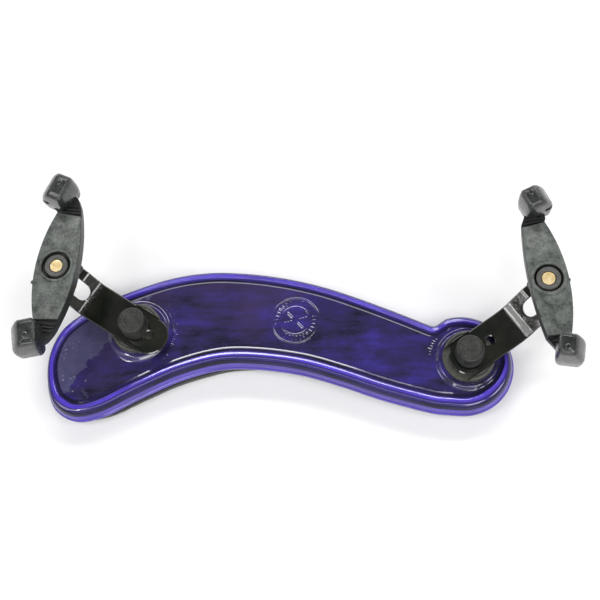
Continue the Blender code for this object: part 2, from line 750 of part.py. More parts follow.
def make_boot(side, spec, end, sign, body, fork):
    """One rubber boot on its peg, upright inside and sloping on the outer side."""
    outward, scale = spec["outward"], spec["boot_scale"][end]
    stretch = scale * spec["boot_stretch"]
    x, y = sign * spec["boot_reach"][end], -spec["boot_offset"] * outward
    half_x, half_y = PEG_SIZE[0] / 2, PEG_SIZE[1] / 2
    name = side + "_boot_" + end
    peg = block(
        name + "_peg", (x - half_x, y - half_y, POCKET_FLOOR - 1 * MM),
        (x + half_x, y + half_y, PEG_TOP), fork,
    )
    boolean(body, peg, "UNION")

    turn = Matrix.Rotation(math.radians(BOOT_TURN * sign * outward), 4, "Z")
    turned_place = Matrix.Translation((x, y, 0.0)) @ turn
    bm = bmesh.new()
    rings = []
    for height, half_length, inwards, outwards in BOOT_LEVELS:
        low, high = -inwards, outwards
        corners = [(-half_length, low), (half_length, low), (half_length, high),
                   (-half_length, high)]
        rings.append([
            bm.verts.new(
                turned_place @ Vector((along * stretch, -across * outward * scale, height))
            )
            for along, across in corners
        ])
    for lower, upper in zip(rings, rings[1:]):
        for k in range(4):
            bm.faces.new((lower[k - 1], lower[k], upper[k], upper[k - 1]))
    bm.faces.new(rings[0])
    bm.faces.new(rings[-1])
    bmesh.ops.recalc_face_normals(bm, faces=bm.faces)
    boot = mesh_object(name, bm, fork, "rubber")
    bevel = boot.modifiers.new("rounding", "BEVEL")
    bevel.width = BOOT_ROUND
    bevel.segments = 3
    bevel.limit_method = "ANGLE"
    bevel.angle_limit = math.radians(30)

    peg_room = block(
        name + "_peg_room",
        (x - half_x - GAP, y - half_y - GAP, BOOT_BOTTOM - 2 * MM),
        (x + half_x + GAP, y + half_y + GAP, PEG_TOP + GAP), fork,
    )
    boolean(boot, peg_room, "DIFFERENCE")
    tip_room = extruded(
        name + "_tip_room", fork_outline(spec, GAP),
        -2 * FORK_THICK, POCKET_FLOOR + GAP, fork,
    )
    boolean(boot, tip_room, "DIFFERENCE")


def main():
    clear_scene()
    plate = make_plate()
    make_film()
    make_foam()
    for side, spec in SIDES.items():
        at_seat = seat_matrix(spec)
        at_pivot = pivot_matrix(spec, at_seat)
        at_fork = fork_matrix(spec, at_pivot)
        seat = frame_empty(side + "_seat_frame", at_seat)
        pivot = frame_empty(side + "_pivot_frame", at_pivot, seat, at_seat)
        fork = frame_empty(side + "_fork_frame", at_fork, pivot, at_pivot)
        add_seat_to_plate(side, plate, seat)
        make_seat_disc(side, seat)
        make_arm(side, spec, seat)
        make_clamp(side, seat)
        make_pivot_nut(side, pivot)
        make_stem(side, pivot, fork)
        make_fork(side, spec, fork)


main()
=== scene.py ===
"""The looks of a violin shoulder rest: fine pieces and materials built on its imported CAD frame."""

import json
import random
from math import asin, ceil, cos, degrees, dist, hypot, radians, sin, sqrt, tan, tau

import bmesh
import bpy
import numpy as np
from mathutils import Matrix, Vector
from mathutils.geometry import delaunay_2d_cdt


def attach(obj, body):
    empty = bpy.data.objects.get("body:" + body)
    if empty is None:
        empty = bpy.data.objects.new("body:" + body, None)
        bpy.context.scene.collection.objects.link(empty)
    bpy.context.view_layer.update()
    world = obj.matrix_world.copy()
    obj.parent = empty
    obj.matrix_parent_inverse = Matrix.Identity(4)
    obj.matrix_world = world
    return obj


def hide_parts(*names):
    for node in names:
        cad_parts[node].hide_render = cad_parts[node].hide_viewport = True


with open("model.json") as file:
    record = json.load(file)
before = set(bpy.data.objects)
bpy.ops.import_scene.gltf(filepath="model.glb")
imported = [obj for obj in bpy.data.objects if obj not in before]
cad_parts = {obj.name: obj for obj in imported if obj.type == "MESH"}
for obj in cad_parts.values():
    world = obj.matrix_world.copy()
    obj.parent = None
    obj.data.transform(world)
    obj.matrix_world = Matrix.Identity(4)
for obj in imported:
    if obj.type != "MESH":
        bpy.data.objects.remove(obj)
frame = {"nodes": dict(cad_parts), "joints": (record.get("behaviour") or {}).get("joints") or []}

MM = 0.001
RANDOM = random.Random(7)
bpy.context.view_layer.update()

# ---- the plate's design, as in the CAD (mm) ----
FLOOR_TOP = 10.9
FLOOR_THICK = 2.4
ARCH_RADIUS = 1630.0
OUTLINE_STEP = 1.5
OUTLINE_GUIDES = [
    (82.5, -27.2), (70.0, -27.7), (60.7, -26.1), (44.0, -21.7), (27.0, -16.1), (9.9, -11.4),
    (-9.5, -9.0), (-24.7, -9.5), (-41.8, -14.5), (-58.7, -22.6), (-74.0, -30.4),
    (-86.0, -32.4), (-95.6, -27.2), (-100.2, -16.5), (-100.6, -3.0), (-95.2, 9.2),
    (-82.5, 18.8), (-66.5, 26.0), (-49.0, 31.9), (-33.0, 34.5), (-17.5, 34.4), (0.7, 32.2),
    (18.4, 28.2), (35.6, 22.4), (52.7, 15.8), (66.2, 10.3),
]
LOBE_CENTRE = (78.0, -6.6)
LOBE_RADIUS = 21.5
LOBE_START = 126.5
LOBE_END = -96.0
NOTCH_RADIUS = 1.3

# Rim, from the floor over the crest and down the skirt: (inset, height). A small step
# runs inside the crest, and the skirt flares out to a lip round its foot.
RIM_PROFILE = [
    (8.3, 0.0), (8.1, 0.0), (7.95, 0.0), (7.89, 0.014), (7.09, 0.205), (7.03, 0.219),
    (6.9, 0.225), (6.6, 0.18), (6.2, 0.15),
    (6.06, 0.2), (5.95, 0.4), (5.84, 0.8), (5.7, 1.3), (5.5, 1.72),
    (5.25, 1.98), (4.95, 2.13), (4.55, 2.23), (4.1, 2.33), (3.7, 2.42), (3.3, 2.47),
    (2.8, 2.42), (2.3, 2.22), (1.9, 1.88), (1.6, 1.35), (1.42, 0.7), (1.34, 0.1), (1.28, -0.4),
    (1.2, -0.75), (1.02, -1.05), (0.85, -1.5), (0.72, -2.2), (0.62, -3.0), (0.55, -3.5),
    (0.51, -3.54), (0.13, -3.92), (0.09, -3.96), (0.0, -4.4), (0.0, -5.2), (0.03, -5.6),
    (0.28, -6.05),
    (0.8, -6.2), (1.9, -6.2), (2.25, -6.08), (2.4, -5.8), (2.9, -3.0), (3.5, -2.4),
]
CREST_INSET = 3.3
NARROW_RIM = 0.72  # of the profile's width inside the crest, where the rim faces away or sideways
WIDE_RIM = 1.06  # and on the near side
FLOOR_GRID = 2.2  # spacing of the floor's points
RELIEF_GRID = 0.34  # where the floor carries a relief
FOAM_PROUD = 1.9

# ---- seats, clamps, arms, forks and boots, as in the CAD (mm) ----
BOSS_PROFILE = [
    (0.0, 1.4), (12.0, 1.4), (12.3, 1.34), (12.5, 1.17), (12.6, 1.07), (13.2, 0.47),
    (13.3, 0.37), (13.5, 0.17), (13.9, 0.0),
]
BOSS_RINGS = (6.0, 8.5, 10.5, 12.0, 12.3, 12.5, 12.6, 13.2, 13.3, 13.5, 13.9, 14.6)
BORE_RADIUS, BORE_SIDES = 3.8, 48
DISC_RADIUS = 10.9
DISC_LOW = 1.7
DISC_WEB_TOP = 3.5
DISC_TOP = 5.2
CHANNEL_HALF = 8.6
SCREW_BORE = 2.35
ARM_LOW = 3.8
ARM_THICK = 1.5
ARM_MID = ARM_LOW + ARM_THICK / 2
ARM_HALF = 8.3
ARM_CHAMFER = 0.42
SLOT_HALF = 3.5
SPARE_HOLE = 2.0
EYE_MID_RADIUS = 2.3
EYE_TURN = 318  # degrees that the rolled eye goes round
WASHER_LOW, WASHER_TOP, WASHER_RADIUS = 5.6, 6.4, 5.3
KNOB_LOW, KNOB_TOP = 6.7, 14.1
KNOB_FOOT_RADIUS, KNOB_HEAD_RADIUS = 6.0, 5.8
NUT_RADIUS, NUT_HALF_LENGTH = 3.9, 3.2
PIN_RADIUS, PIN_REACH = 1.4, 8.0
STEM_RADIUS, STEM_HEAD_RADIUS, STEM_FOOT, THREAD_PITCH = 1.95, 2.7, -24.2, 0.7
WHEEL_RADIUS, WHEEL_LOW, WHEEL_TOP = 5.6, 4.2, 6.5
HUB_RADIUS, HUB_FLANGE_RADIUS = 4.9, 6.4
FORK_THICK = 6.1
FORK_BORE = 5.25
OUTER_EDGE_RADIUS = 72.0
DECK_HALF_LENGTH = 24.0
POCKET_FLOOR = -2.6
POCKET_TURN = 6.0
BOOT_HEIGHTS = (-8.2, -0.5, 8.8)
BOOT_HALF_LENGTHS = (4.7, 5.3, 4.6)
BOOT_INWARDS = (5.2, 5.9, 5.0)
BOOT_OUTWARDS = (5.4, 6.1, 1.2)
BOOT_TURN = 17.0
ENDS = {"back": 1, "front": -1}  # of a fork, and their signs along its X

LEFT_AND_RIGHT = {
    "outward": (-1, 1), "inner_end": (-7.4, 0.0), "spare_hole": (-7.0, 10.9),
    "bend_at": (25.4, 23.7), "bend_radius": (4.0, 13.0), "bend_angle": (48.0, 38.0),
    "rise_length": (14.6, 18.2), "slot_reach": (9.0, 7.8), "fork_lean": (5.8, -10.9),
    "inner_half": (8.8, 7.6), "outer_half": (9.2, 8.0), "inner_edge_radius": (90.0, 150.0),
    "tip_over_boot": (2.0, 1.0), "tip_round": (6.5, 8.5), "boot_back": (33.4, 33.0),
    "boot_front": (33.0, 30.8), "boot_offset": (5.4, 1.7), "boot_stretch": (1.18, 1.0),
    "scale_back": (1.06, 1.0), "scale_front": (1.06, 0.95), "lacquer_marks": (1.0, 0.2),
    "groove_radius": (6.2, 5.75), "nub_at": (-8.0, -1.8),
}
SIDES = {
    side: {key: pair[number] for key, pair in LEFT_AND_RIGHT.items()}
    for number, side in enumerate(("left", "right"))
}

# ---- reliefs moulded in the floor: plain generic marks (mm) ----
MEDAL_CENTRE = (7.6, 11.5)
MEDAL_RADIUS = 10.2
MEDAL_INNER_RADIUS = 6.3
LONG_TICK = 1.9
LOBE_RIBS = [
    ((-83.1, 3.5), (-78.5, 8.0), 0.2), ((-82.2, -15.1), (-77.1, -9.6), 0.24),
    ((-79.9, -6.1), (-76.2, -2.7), 0.2), ((-87.5, -20.0), (-83.0, -14.6), 0.16),
    ((-84.8, -4.0), (-80.6, 0.4), 0.16),
]
STUD_ROWS = (-94.4, -92.6, -89.4, -87.6)
RELIEF_HEIGHT = 0.14


# ---- frames ----
def joint(name):
    return next(j for j in frame["joints"] if j["name"] == name)


def frame_at(origin, up, along):
    """A matrix with Z along up and X as near to along as it can be."""
    up = Vector(up).normalized()
    along = (Vector(along) - up * up.dot(Vector(along))).normalized()
    axes = Matrix((along, up.cross(along), up)).transposed().to_4x4()
    return Matrix.Translation(origin) @ axes


def side_frames(side):
    """Seat, pivot and fork frames of one side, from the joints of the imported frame."""
    swivel, fold = joint(side + "_arm_swivel"), joint(side + "_fork_fold")
    wheel, turn = joint(side + "_wheel_turn"), joint(side + "_fork_swivel")
    reach = Vector(fold["pos_m"]) - Vector(swivel["pos_m"])
    seat = frame_at(swivel["pos_m"], swivel["axis"], reach)
    pivot = frame_at(fold["pos_m"], wheel["axis"], reach)
    lean = radians(SIDES[side]["fork_lean"])
    fork = frame_at(turn["pos_m"], turn["axis"], (sin(lean), cos(lean), 0.0))
    return {"seat": seat, "pivot": pivot, "fork": fork}


FRAMES = {side: side_frames(side) for side in SIDES}


# ---- materials ----
class Nodes:
    """Short calls for building one node tree, of a new material or of the world."""

    def __init__(self, name, owner=None, shader="Principled BSDF"):
        self.material = owner or bpy.data.materials.new(name)
        self.material.use_nodes = True
        self.tree = self.material.node_tree
        self.shader = self.tree.nodes[shader]
        self.coordinates = self.new("TexCoord").outputs
        self.place = self.coordinates["Object"]

    def put(self, socket, value):
        """Link a socket to another's output, or set its number, vector or opaque colour."""
        if isinstance(value, bpy.types.NodeSocket):
            self.tree.links.new(value, socket)
        elif hasattr(value, "__len__"):
            socket.default_value = (*value, 1.0)[:len(socket.default_value)]
        else:
            socket.default_value = value

    def set(self, **values):
        for key, value in values.items():
            self.put(self.shader.inputs[key.replace("_", " ")], value)

    def new(self, kind, **sockets):
        node = self.tree.nodes.new("ShaderNode" + kind)
        for key, value in sockets.items():
            self.put(node.inputs[key.replace("_", " ")], value)
        return node

    def noise(self, scale, detail=4.0, rough=0.55, stretch=None, seed=0.0):
        """Noise with about `scale` features a metre, stretched along an axis when asked."""
        place = self.place
        if stretch is not None or seed:
            shift = (seed, seed * 0.7, seed * 0.3)
            mapping = self.new("Mapping", Vector=place, Scale=stretch or [1.0] * 3, Location=shift)
            place = mapping.outputs["Vector"]
        node = self.new("TexNoise", Vector=place, Scale=scale, Detail=detail, Roughness=rough)
        return node.outputs["Fac"]

    def cells(self, scale):
        return self.new("TexVoronoi", Vector=self.place, Scale=scale).outputs["Distance"]

    def ramp(self, value, *stops):
        """Colours or numbers over a value: (position, colour or number) pairs."""
        node = self.new("ValToRGB", Fac=value)
        elements = node.color_ramp.elements
        while len(elements) < len(stops):
            elements.new(0.5)
        for element, (position, colour) in zip(elements, stops):
            element.position = position
            element.color = (*(colour if hasattr(colour, "__len__") else [colour] * 3), 1.0)
        return node.outputs["Color"]

    def mix(self, factor, a, b):
        node = self.new("Mix")
        node.data_type = "RGBA"
        for number, value in ((0, factor), (6, a), (7, b)):
            self.put(node.inputs[number], value)
        return node.outputs[2]

    def maths(self, operation, *values, kind="Math"):
        node = self.new(kind)
        node.operation = operation
        for socket, value in zip(node.inputs, values):
            self.put(socket, value)
        return node.outputs["Value"]

    def times(self, a, b):
        return self.maths("MULTIPLY", a, b)

    def attribute(self, name):
        node = self.new("Attribute")
        node.attribute_name = name
        return node.outputs["Fac"]

    def span(self, value, low, high, out_low, out_high):
        node = self.new(
            "MapRange", Value=value, From_Min=low, From_Max=high, To_Min=out_low, To_Max=out_high
        )
        return node.outputs["Result"]

    def bump(self, *layers):
        """Chained bumps: (height, depth in metres) pairs."""
        normal = None
        for height, depth in layers:
            node = self.new("Bump", Height=height, Distance=depth, Strength=1.0)
            if normal is not None:
                self.put(node.inputs["Normal"], normal)
            normal = node.outputs["Normal"]
        self.set(Normal=normal)

    def colour(self, value):
        self.set(Base_Color=value)

    def roughness(self, value, low, high):
        self.set(Roughness=self.span(value, 0.3, 0.7, low, high))


def film_patch(m):
    """1 where the film under the plate's left end has let go, with a ragged slanting edge."""
    x, y, _ = m.new("SeparateXYZ", Vector=m.place).outputs
    across = m.maths("ADD", m.times(x, -0.794), m.times(y, 0.611))
    ragged = m.span(m.noise(190, 4, 0.65), 0.3, 0.7, -0.003, 0.003)
    return m.span(m.maths("ADD", across, ragged), 0.0596, 0.0606, 0.0, 1.0)


def purple_plastic():
    """Clear violet plastic over black foam: dark and blotched on the floor, and in the rim painted
    bright violet where light shines through it, with painted shade on its darker bands.
    """
    m = Nodes("purple_plastic")
    m.set(IOR=1.49, Coat_Roughness=0.03)
    glow = m.attribute("glow")
    patches = m.noise(42, 6, 0.68, (1.0, 1.5, 1.0))
    streaks = m.noise(170, 5, 0.7, (0.3, 1.5, 1.0), 0.4)
    wet = m.mix(0.42, patches, streaks)
    floor = m.ramp(
        wet, (0.40, (0.009, 0.008, 0.024)), (0.47, (0.022, 0.018, 0.064)),
        (0.54, (0.028, 0.021, 0.112)), (0.64, (0.040, 0.028, 0.220)),
    )
    haze = m.ramp(m.noise(15, 2, 0.5, None, 0.9), (0.50, 0.0), (0.66, 0.6))
    floor = m.mix(haze, floor, (0.056, 0.036, 0.098))
    film = m.mix(m.noise(260, 4, 0.6), (0.046, 0.045, 0.100), (0.115, 0.111, 0.215))
    floor = m.mix(m.times(film_patch(m), 0.85), floor, film)
    # Painted light and shade in the rim's colour, by zone: the violet is the plastic's own, but the
    # bright inner slope and lip are painted light shining through it, and the dark bands are painted
    # shade.
    rim = m.ramp(
        glow, (0.2, (0.016, 0.014, 0.036)), (0.5, (0.032, 0.024, 0.165)),
        (0.8, (0.092, 0.056, 0.560)), (1.0, (0.082, 0.054, 0.400)),
    )
    dull = m.ramp(m.noise(75, 3, 0.5, None, 0.2), (0.38, 0.4), (0.62, 0.0))
    rim = m.mix(dull, rim, (0.04, 0.028, 0.16))
    # Painted shade: the rim's inner slope is darkened towards dark indigo where it turns away from
    # the view.
    slope = m.ramp(glow, (0.5, 0.0), (0.75, 1.0), (0.85, 1.0), (0.97, 0.0))
    # A known fault: this colour goes by the view and not by a fixed direction.
    away = m.ramp(m.new("LayerWeight").outputs["Facing"], (0.22, 0.0), (0.55, 0.9))
    rim = m.mix(m.times(slope, away), rim, (0.022, 0.017, 0.085))
    m.colour(m.mix(m.ramp(glow, (0.0, 0.0), (0.15, 1.0)), floor, rim))
    gloss = m.ramp(
        glow, (0.05, 1.0), (0.17, 0.12), (0.3, 0.12), (0.45, 1.0), (0.85, 1.0), (1.0, 0.45)
    )
    m.set(Coat_Weight=m.times(gloss, 0.9), Specular_IOR_Level=m.times(gloss, 0.5))
    m.roughness(m.noise(300, 3, 0.5), 0.05, 0.12)
    m.bump((m.noise(45, 2, 0.4), 0.00010), (m.noise(900, 3, 0.5), 0.000006))
    return m.material


def adhesive():
    m = Nodes("adhesive_film")
    m.colour(m.ramp(m.noise(90, 4), (0.4, (0.10, 0.09, 0.24)), (0.6, (0.22, 0.20, 0.44))))
    m.roughness(m.noise(500), 0.3, 0.5)
    m.bump((m.noise(700, 4), 0.00004))
    return m.material


def foam_rubber():
    """Black closed-cell foam with fine pores."""
    m = Nodes("foam")
    m.set(Sheen_Weight=0.25, Sheen_Roughness=0.6, Specular_IOR_Level=0.25)
    pores = m.cells(2100)
    m.colour(m.mix(m.noise(60), (0.008, 0.008, 0.009), (0.028, 0.028, 0.031)))
    m.roughness(m.noise(800), 0.82, 0.98)
    m.bump((pores, 0.00016), (m.cells(5200), 0.00006), (m.noise(160, 3), 0.0002))
    return m.material


def lacquered_steel():
    """Black gloss lacquer on steel, crazed where the strip is bent, with pale flecks painted there
    as glints on the crazing.
    """
    m = Nodes("lacquered_steel")
    m.set(IOR=1.5, Coat_Weight=1.0, Coat_Roughness=0.03)
    tone = m.noise(70, 4, 0.6)
    base = m.ramp(tone, (0.35, (0.005, 0.007, 0.005)), (0.65, (0.018, 0.018, 0.013)))
    bend = m.attribute("bend")
    # Painted highlight: pale flecks mixed into the colour along the bend stand in for glints on the
    # crazed lacquer; the crazing itself is the wrinkle bump.
    glint_fleck = m.ramp(m.noise(2300, 2, 0.5), (0.56, 0.0), (0.64, 1.0))
    m.colour(m.mix(m.times(glint_fleck, m.times(bend, 0.35)), base, (0.20, 0.20, 0.19)))
    m.roughness(m.noise(260, 4), 0.05, 0.14)
    wrinkle = m.times(m.noise(1500, 3, 0.6, (0.5, 1.0, 1.0)), bend)
    m.bump((m.noise(130, 3, 0.5), 0.00012), (wrinkle, 0.00010), (m.noise(1400, 2), 0.000004))
    return m.material


def moulded_plastic(
    name, dark, light, mottle=420, rough=(0.45, 0.62), grain=0.00002, coarse=0.00004, pale=None
):
    """Matte moulded plastic with a soft mottle and a fine spark-eroded grain.

    With pale, an attribute's name, only the places where it is 1 keep the mottled tone; the rest is
    painted dark as shade on the sides and in the recesses.
    """
    m = Nodes(name)
    m.set(Specular_IOR_Level=0.45)
    blend = m.mix(0.5, m.noise(mottle, 5, 0.65), m.noise(mottle * 0.27, 3, 0.5, None, 0.3))
    middle = [(a + b) / 2 for a, b in zip(dark, light)]
    tone = m.ramp(blend, (0.36, dark), (0.5, middle), (0.64, light))
    if pale:
        # Painted shade: where the attribute is 0 (a fork's sides, pockets and groove) the colour is
        # painted near black.
        sides = m.mix(blend, (0.010, 0.011, 0.010), (0.030, 0.033, 0.030))
        tone = m.mix(m.attribute(pale), sides, tone)
    m.colour(tone)
    m.roughness(m.noise(mottle * 1.7, 3), *rough)
    m.bump((m.noise(mottle * 0.4, 3), coarse), (m.noise(4200, 3, 0.6), grain))
    return m.material


def rubber():
    """Black rubber with a thin satin bloom and slightly greyer rounded corners and edges."""
    m = Nodes("boot_rubber")
    m.set(Specular_IOR_Level=0.55, Coat_Weight=0.5, Coat_Roughness=0.14)
    tone = m.noise(330, 5, 0.6)
    base = m.ramp(tone, (0.36, (0.007, 0.009, 0.008)), (0.64, (0.026, 0.029, 0.026)))
    m.colour(m.mix(m.times(m.attribute("greyer_edges"), 0.6), base, (0.080, 0.086, 0.078)))
    m.roughness(m.noise(520, 4), 0.20, 0.42)
    m.bump((m.noise(240, 3), 0.00016), (m.noise(3000, 3, 0.6), 0.000022))
    return m.material


def metal(name, dark, light, rough, metallic=1.0):
    """Bare metal with a fine tool or plating texture."""
    m = Nodes(name)
    m.set(Metallic=metallic)
    m.colour(m.ramp(m.noise(300), (0.35, dark), (0.65, light)))
    m.roughness(m.noise(600, 4, 0.6), *rough)
    m.bump((m.noise(1800, 3, 0.6), 0.000006))
    return m.material


MATERIALS = {
    "purple_plastic": purple_plastic(),
    "adhesive": adhesive(),
    "foam": foam_rubber(),
    "lacquered_steel": lacquered_steel(),
    "seat_plastic": moulded_plastic(
        "seat_plastic", (0.030, 0.031, 0.025), (0.084, 0.084, 0.071), 700, (0.32, 0.55), 0.00003
    ),
    "knob_plastic": moulded_plastic(
        "knob_plastic", (0.004, 0.005, 0.004), (0.038, 0.038, 0.033), 1100, (0.30, 0.56), 0.00005
    ),
    "wheel_plastic": moulded_plastic("wheel_plastic", [0.014] * 3, (0.036, 0.036, 0.034)),
    "filled_nylon": moulded_plastic(
        "filled_nylon", (0.024, 0.029, 0.026), (0.148, 0.162, 0.149), 900, (0.30, 0.55),
        0.00004, 0.00009, "deck"
    ),
    "hub_plastic": moulded_plastic("hub_plastic", (0.05, 0.05, 0.048), (0.105, 0.105, 0.1), 800),
    "boot_rubber": rubber(),
    "brass": metal("brass", (0.80, 0.58, 0.25), (1.00, 0.85, 0.52), (0.26, 0.42), metallic=0.6),
    "zinc_steel": metal("zinc_steel", (0.42, 0.42, 0.41), (0.66, 0.66, 0.64), (0.22, 0.42)),
}


# ---- mesh tools (all sizes in mm, turned to metres when the piece is made) ----
def placed(name, data):
    obj = bpy.data.objects.new(name, data)
    bpy.context.scene.collection.objects.link(obj)
    return obj


def object_of(name, bm):
    """An object made of a bmesh, which is used up."""
    mesh = bpy.data.meshes.new(name)
    bm.to_mesh(mesh)
    bm.free()
    return placed(name, mesh)


def piece(name, bm, matrix, slot, body, node, sharp=35):
    """Make an object from a bmesh in mm: place it, shade it, paint it and let it ride."""
    bmesh.ops.transform(bm, matrix=matrix @ Matrix.Scale(MM, 4), verts=bm.verts)
    obj = object_of(name, bm)
    obj.data.materials.append(MATERIALS[slot])
    obj.data.shade_smooth()
    obj.data.set_sharp_from_angle(angle=radians(sharp))
    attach(obj, body)
    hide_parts(node)
    return obj


def side_piece(side, name, bm, place, slot, body, node, sharp=35):
    """A piece in one of its side's frames, on one of its side's bodies."""
    body, node = f"{side}_{body}", f"{side}_{node}"
    return piece(f"{side}_{name}", bm, FRAMES[side][place], slot, body, node, sharp)


def clamped(value):
    return min(1.0, max(0.0, value))


def around(centre, radius, angle):
    """The point at a radius and an angle in radians round a centre."""
    return centre[0] + radius * cos(angle), centre[1] + radius * sin(angle)


def arc(centre, radius, start, end, steps):
    angles = [radians(start + (end - start) * k / steps) for k in range(steps + 1)]
    return [around(centre, radius, angle) for angle in angles]


def bridge(bm, first, second):
    """Quads between two closed loops of as many points."""
    for k in range(len(first)):
        bm.faces.new((first[k - 1], first[k], second[k], second[k - 1]))


def fine_profile(profile, step):
    """The same profile with no stretch longer than step."""
    points = [profile[0]]
    for a, b in zip(profile, profile[1:]):
        count = max(1, ceil(dist(a, b) / step))
        for k in range(1, count + 1):
            points.append(tuple(p + (q - p) * k / count for p, q in zip(a, b)))
    return points


def lathe(profile, steps=96, shape=None, closed=False):
    """A turned solid from (radius, height) points, top to bottom down the outside.

    shape(radius, height, angle) may return a changed (radius, height).
    """
    bm = bmesh.new()
    rings = []
    for radius, height in profile:
        if radius < 1e-6:
            rings.append([bm.verts.new((0.0, 0.0, height))])
            continue
        ring = []
        for k in range(steps):
            angle = tau * k / steps
            r, z = shape(radius, height, angle) if shape else (radius, height)
            ring.append(bm.verts.new((r * cos(angle), r * sin(angle), z)))
        rings.append(ring)
    pairs = list(zip(rings, rings[1:]))
    if closed:
        pairs.append((rings[-1], rings[0]))
    for upper, lower in pairs:
        for k in range(steps):
            quad = [upper[(k - 1) % len(upper)], upper[k % len(upper)],
                    lower[k % len(lower)], lower[(k - 1) % len(lower)]]
            corners = list(dict.fromkeys(quad))
            if len(corners) > 2:
                bm.faces.new(corners)
    bmesh.ops.recalc_face_normals(bm, faces=bm.faces)
    return bm


def combined(bm, *operations):
    """A bmesh with Booleans applied: (operation, bmesh) pairs, all in mm."""
    body = object_of("body", bm)
    tools = []
    for operation, tool_bm in operations:
        tools.append(object_of("tool", tool_bm))
        modifier = body.modifiers.new("cut", "BOOLEAN")
        modifier.operation = operation
        modifier.solver = "EXACT"
        modifier.object = tools[-1]
    evaluated = body.evaluated_get(bpy.context.evaluated_depsgraph_get())
    result = bmesh.new()
    result.from_mesh(evaluated.to_mesh())
    for obj in (body, *tools):
        bpy.data.objects.remove(obj, do_unlink=True)
    return result


def cylinder(radius, low, high, sides, x=0.0, y=0.0):
    bm = bmesh.new()
    bmesh.ops.create_cone(
        bm, cap_ends=True, segments=sides, radius1=radius, radius2=radius, depth=high - low,
        matrix=Matrix.Translation((x, y, (low + high) / 2)) @ Matrix.Rotation(0.05, 4, "Z"),
    )
    return bm


def box(low, high):
    bm = bmesh.new()
    size = [b - a for a, b in zip(low, high)]
    middle = [(a + b) / 2 for a, b in zip(low, high)]
    matrix = Matrix.Translation(middle) @ Matrix.Diagonal((*size, 1.0))
    bmesh.ops.create_cube(bm, size=1.0, matrix=matrix)
    return bm


def prism(outline, low, high, rounding=0.0, steps=3):
    """A flat outline made solid between two heights, its long edges rounded or chamfered."""
    curve = bpy.data.curves.new("outline", "CURVE")
    curve.dimensions = "2D"
    curve.fill_mode = "BOTH"
    curve.extrude = (high - low) / 2 - rounding
    curve.bevel_depth = rounding
    curve.bevel_resolution = steps
    curve.offset = -rounding
    loops = outline if isinstance(outline[0][0], (tuple, list)) else [outline]
    for loop in loops:
        spline = curve.splines.new("POLY")
        spline.points.add(len(loop) - 1)
        for point, (x, y) in zip(spline.points, loop):
            point.co = (x, y, 0.0, 1.0)
        spline.use_cyclic_u = True
    flat = placed("outline", curve)
    bm = bmesh.new()
    bm.from_mesh(flat.evaluated_get(bpy.context.evaluated_depsgraph_get()).to_mesh())
    bpy.data.objects.remove(flat, do_unlink=True)
    bmesh.ops.remove_doubles(bm, verts=bm.verts, dist=0.01)
    bmesh.ops.translate(bm, verts=bm.verts, vec=(0.0, 0.0, (low + high) / 2))
    bmesh.ops.recalc_face_normals(bm, faces=bm.faces)
    return bm


def smooth_path(guides, step):
    """Points about step apart on a Catmull-Rom curve through the guides between its ends."""
    points = []
    for k in range(len(guides) - 3):
        before, a, b, after = (Vector(p) for p in guides[k:k + 4])
        steps = max(1, round((b - a).length / step))
        for t in (n / steps for n in range(steps)):
            point = (
                2 * a + (b - before) * t + (2 * before - 5 * a + 4 * b - after) * t**2
                + (3 * a - before - 3 * b + after) * t**3
            ) / 2
            points.append(tuple(point))
    return [*points, tuple(guides[-2])]


# ---- plate ----
def rounded_corner(before, corner, after, radius, steps):
    before, corner, after = Vector(before), Vector(corner), Vector(after)
    back, ahead = (before - corner).normalized(), (after - corner).normalized()
    half_angle = back.angle(ahead) / 2
    middle = corner + (back + ahead).normalized() * radius / sin(half_angle)
    first = corner + back * radius / tan(half_angle) - middle
    last = corner + ahead * radius / tan(half_angle) - middle
    turn = first.angle_signed(last)
    return [tuple(middle + Matrix.Rotation(-turn * k / steps, 2) @ first) for k in range(steps + 1)]


def plate_outline():
    """The plate's widest outline in mm, clockwise, with its outward directions."""
    swept = smooth_path([*OUTLINE_GUIDES, (80.0, 5.0)], OUTLINE_STEP)
    lobe = arc(LOBE_CENTRE, LOBE_RADIUS, LOBE_START, LOBE_END, 56)
    notch = rounded_corner(swept[-6], swept[-1], lobe[3], NOTCH_RADIUS, 8)
    while swept and dist(swept[-1], notch[0]) < 1.6:
        swept.pop()
    points = [Vector(p) for p in [*swept, *notch, *lobe[4:-1]]]
    outwards = []
    for k, point in enumerate(points):
        along = points[(k + 1) % len(points)] - points[k - 1]
        outwards.append(Vector((-along.y, along.x)).normalized())
    return points, outwards


def floor_height(x):
    """Height of the plate's floor in mm."""
    return FLOOR_TOP - x * x / (2 * ARCH_RADIUS)


def bump_of(distance, half_width, edge=0.3):
    """1 inside half_width, falling to 0 over edge."""
    t = clamped((half_width + edge - distance) / edge)
    return t * t * (3 - 2 * t)


def to_segment(p, a, b):
    """Distance of p from the segment a-b."""
    ab = (b[0] - a[0], b[1] - a[1])
    t = ((p[0] - a[0]) * ab[0] + (p[1] - a[1]) * ab[1]) / (ab[0] ** 2 + ab[1] ** 2)
    t = clamped(t)
    return dist(p, (a[0] + ab[0] * t, a[1] + ab[1] * t))


def spoke(centre, near, far, angle, half_width):
    """A radial stroke of a relief: its ends and half its width."""
    return around(centre, near, angle), around(centre, far, angle), half_width


def tick_arc(centre, radius, start, end, count):
    """Radial ticks on an arc round a seat, every fourth one long."""
    strokes = []
    for k in range(count):
        angle = radians(start + (end - start) * k / (count - 1))
        length = LONG_TICK if k % 4 == 0 else LONG_TICK * 0.6
        strokes.append(spoke(centre, radius, radius + length, angle, 0.17))
    return strokes


def seat_place(side):
    origin = FRAMES[side]["seat"].to_translation() / MM
    return (origin.x, origin.y)


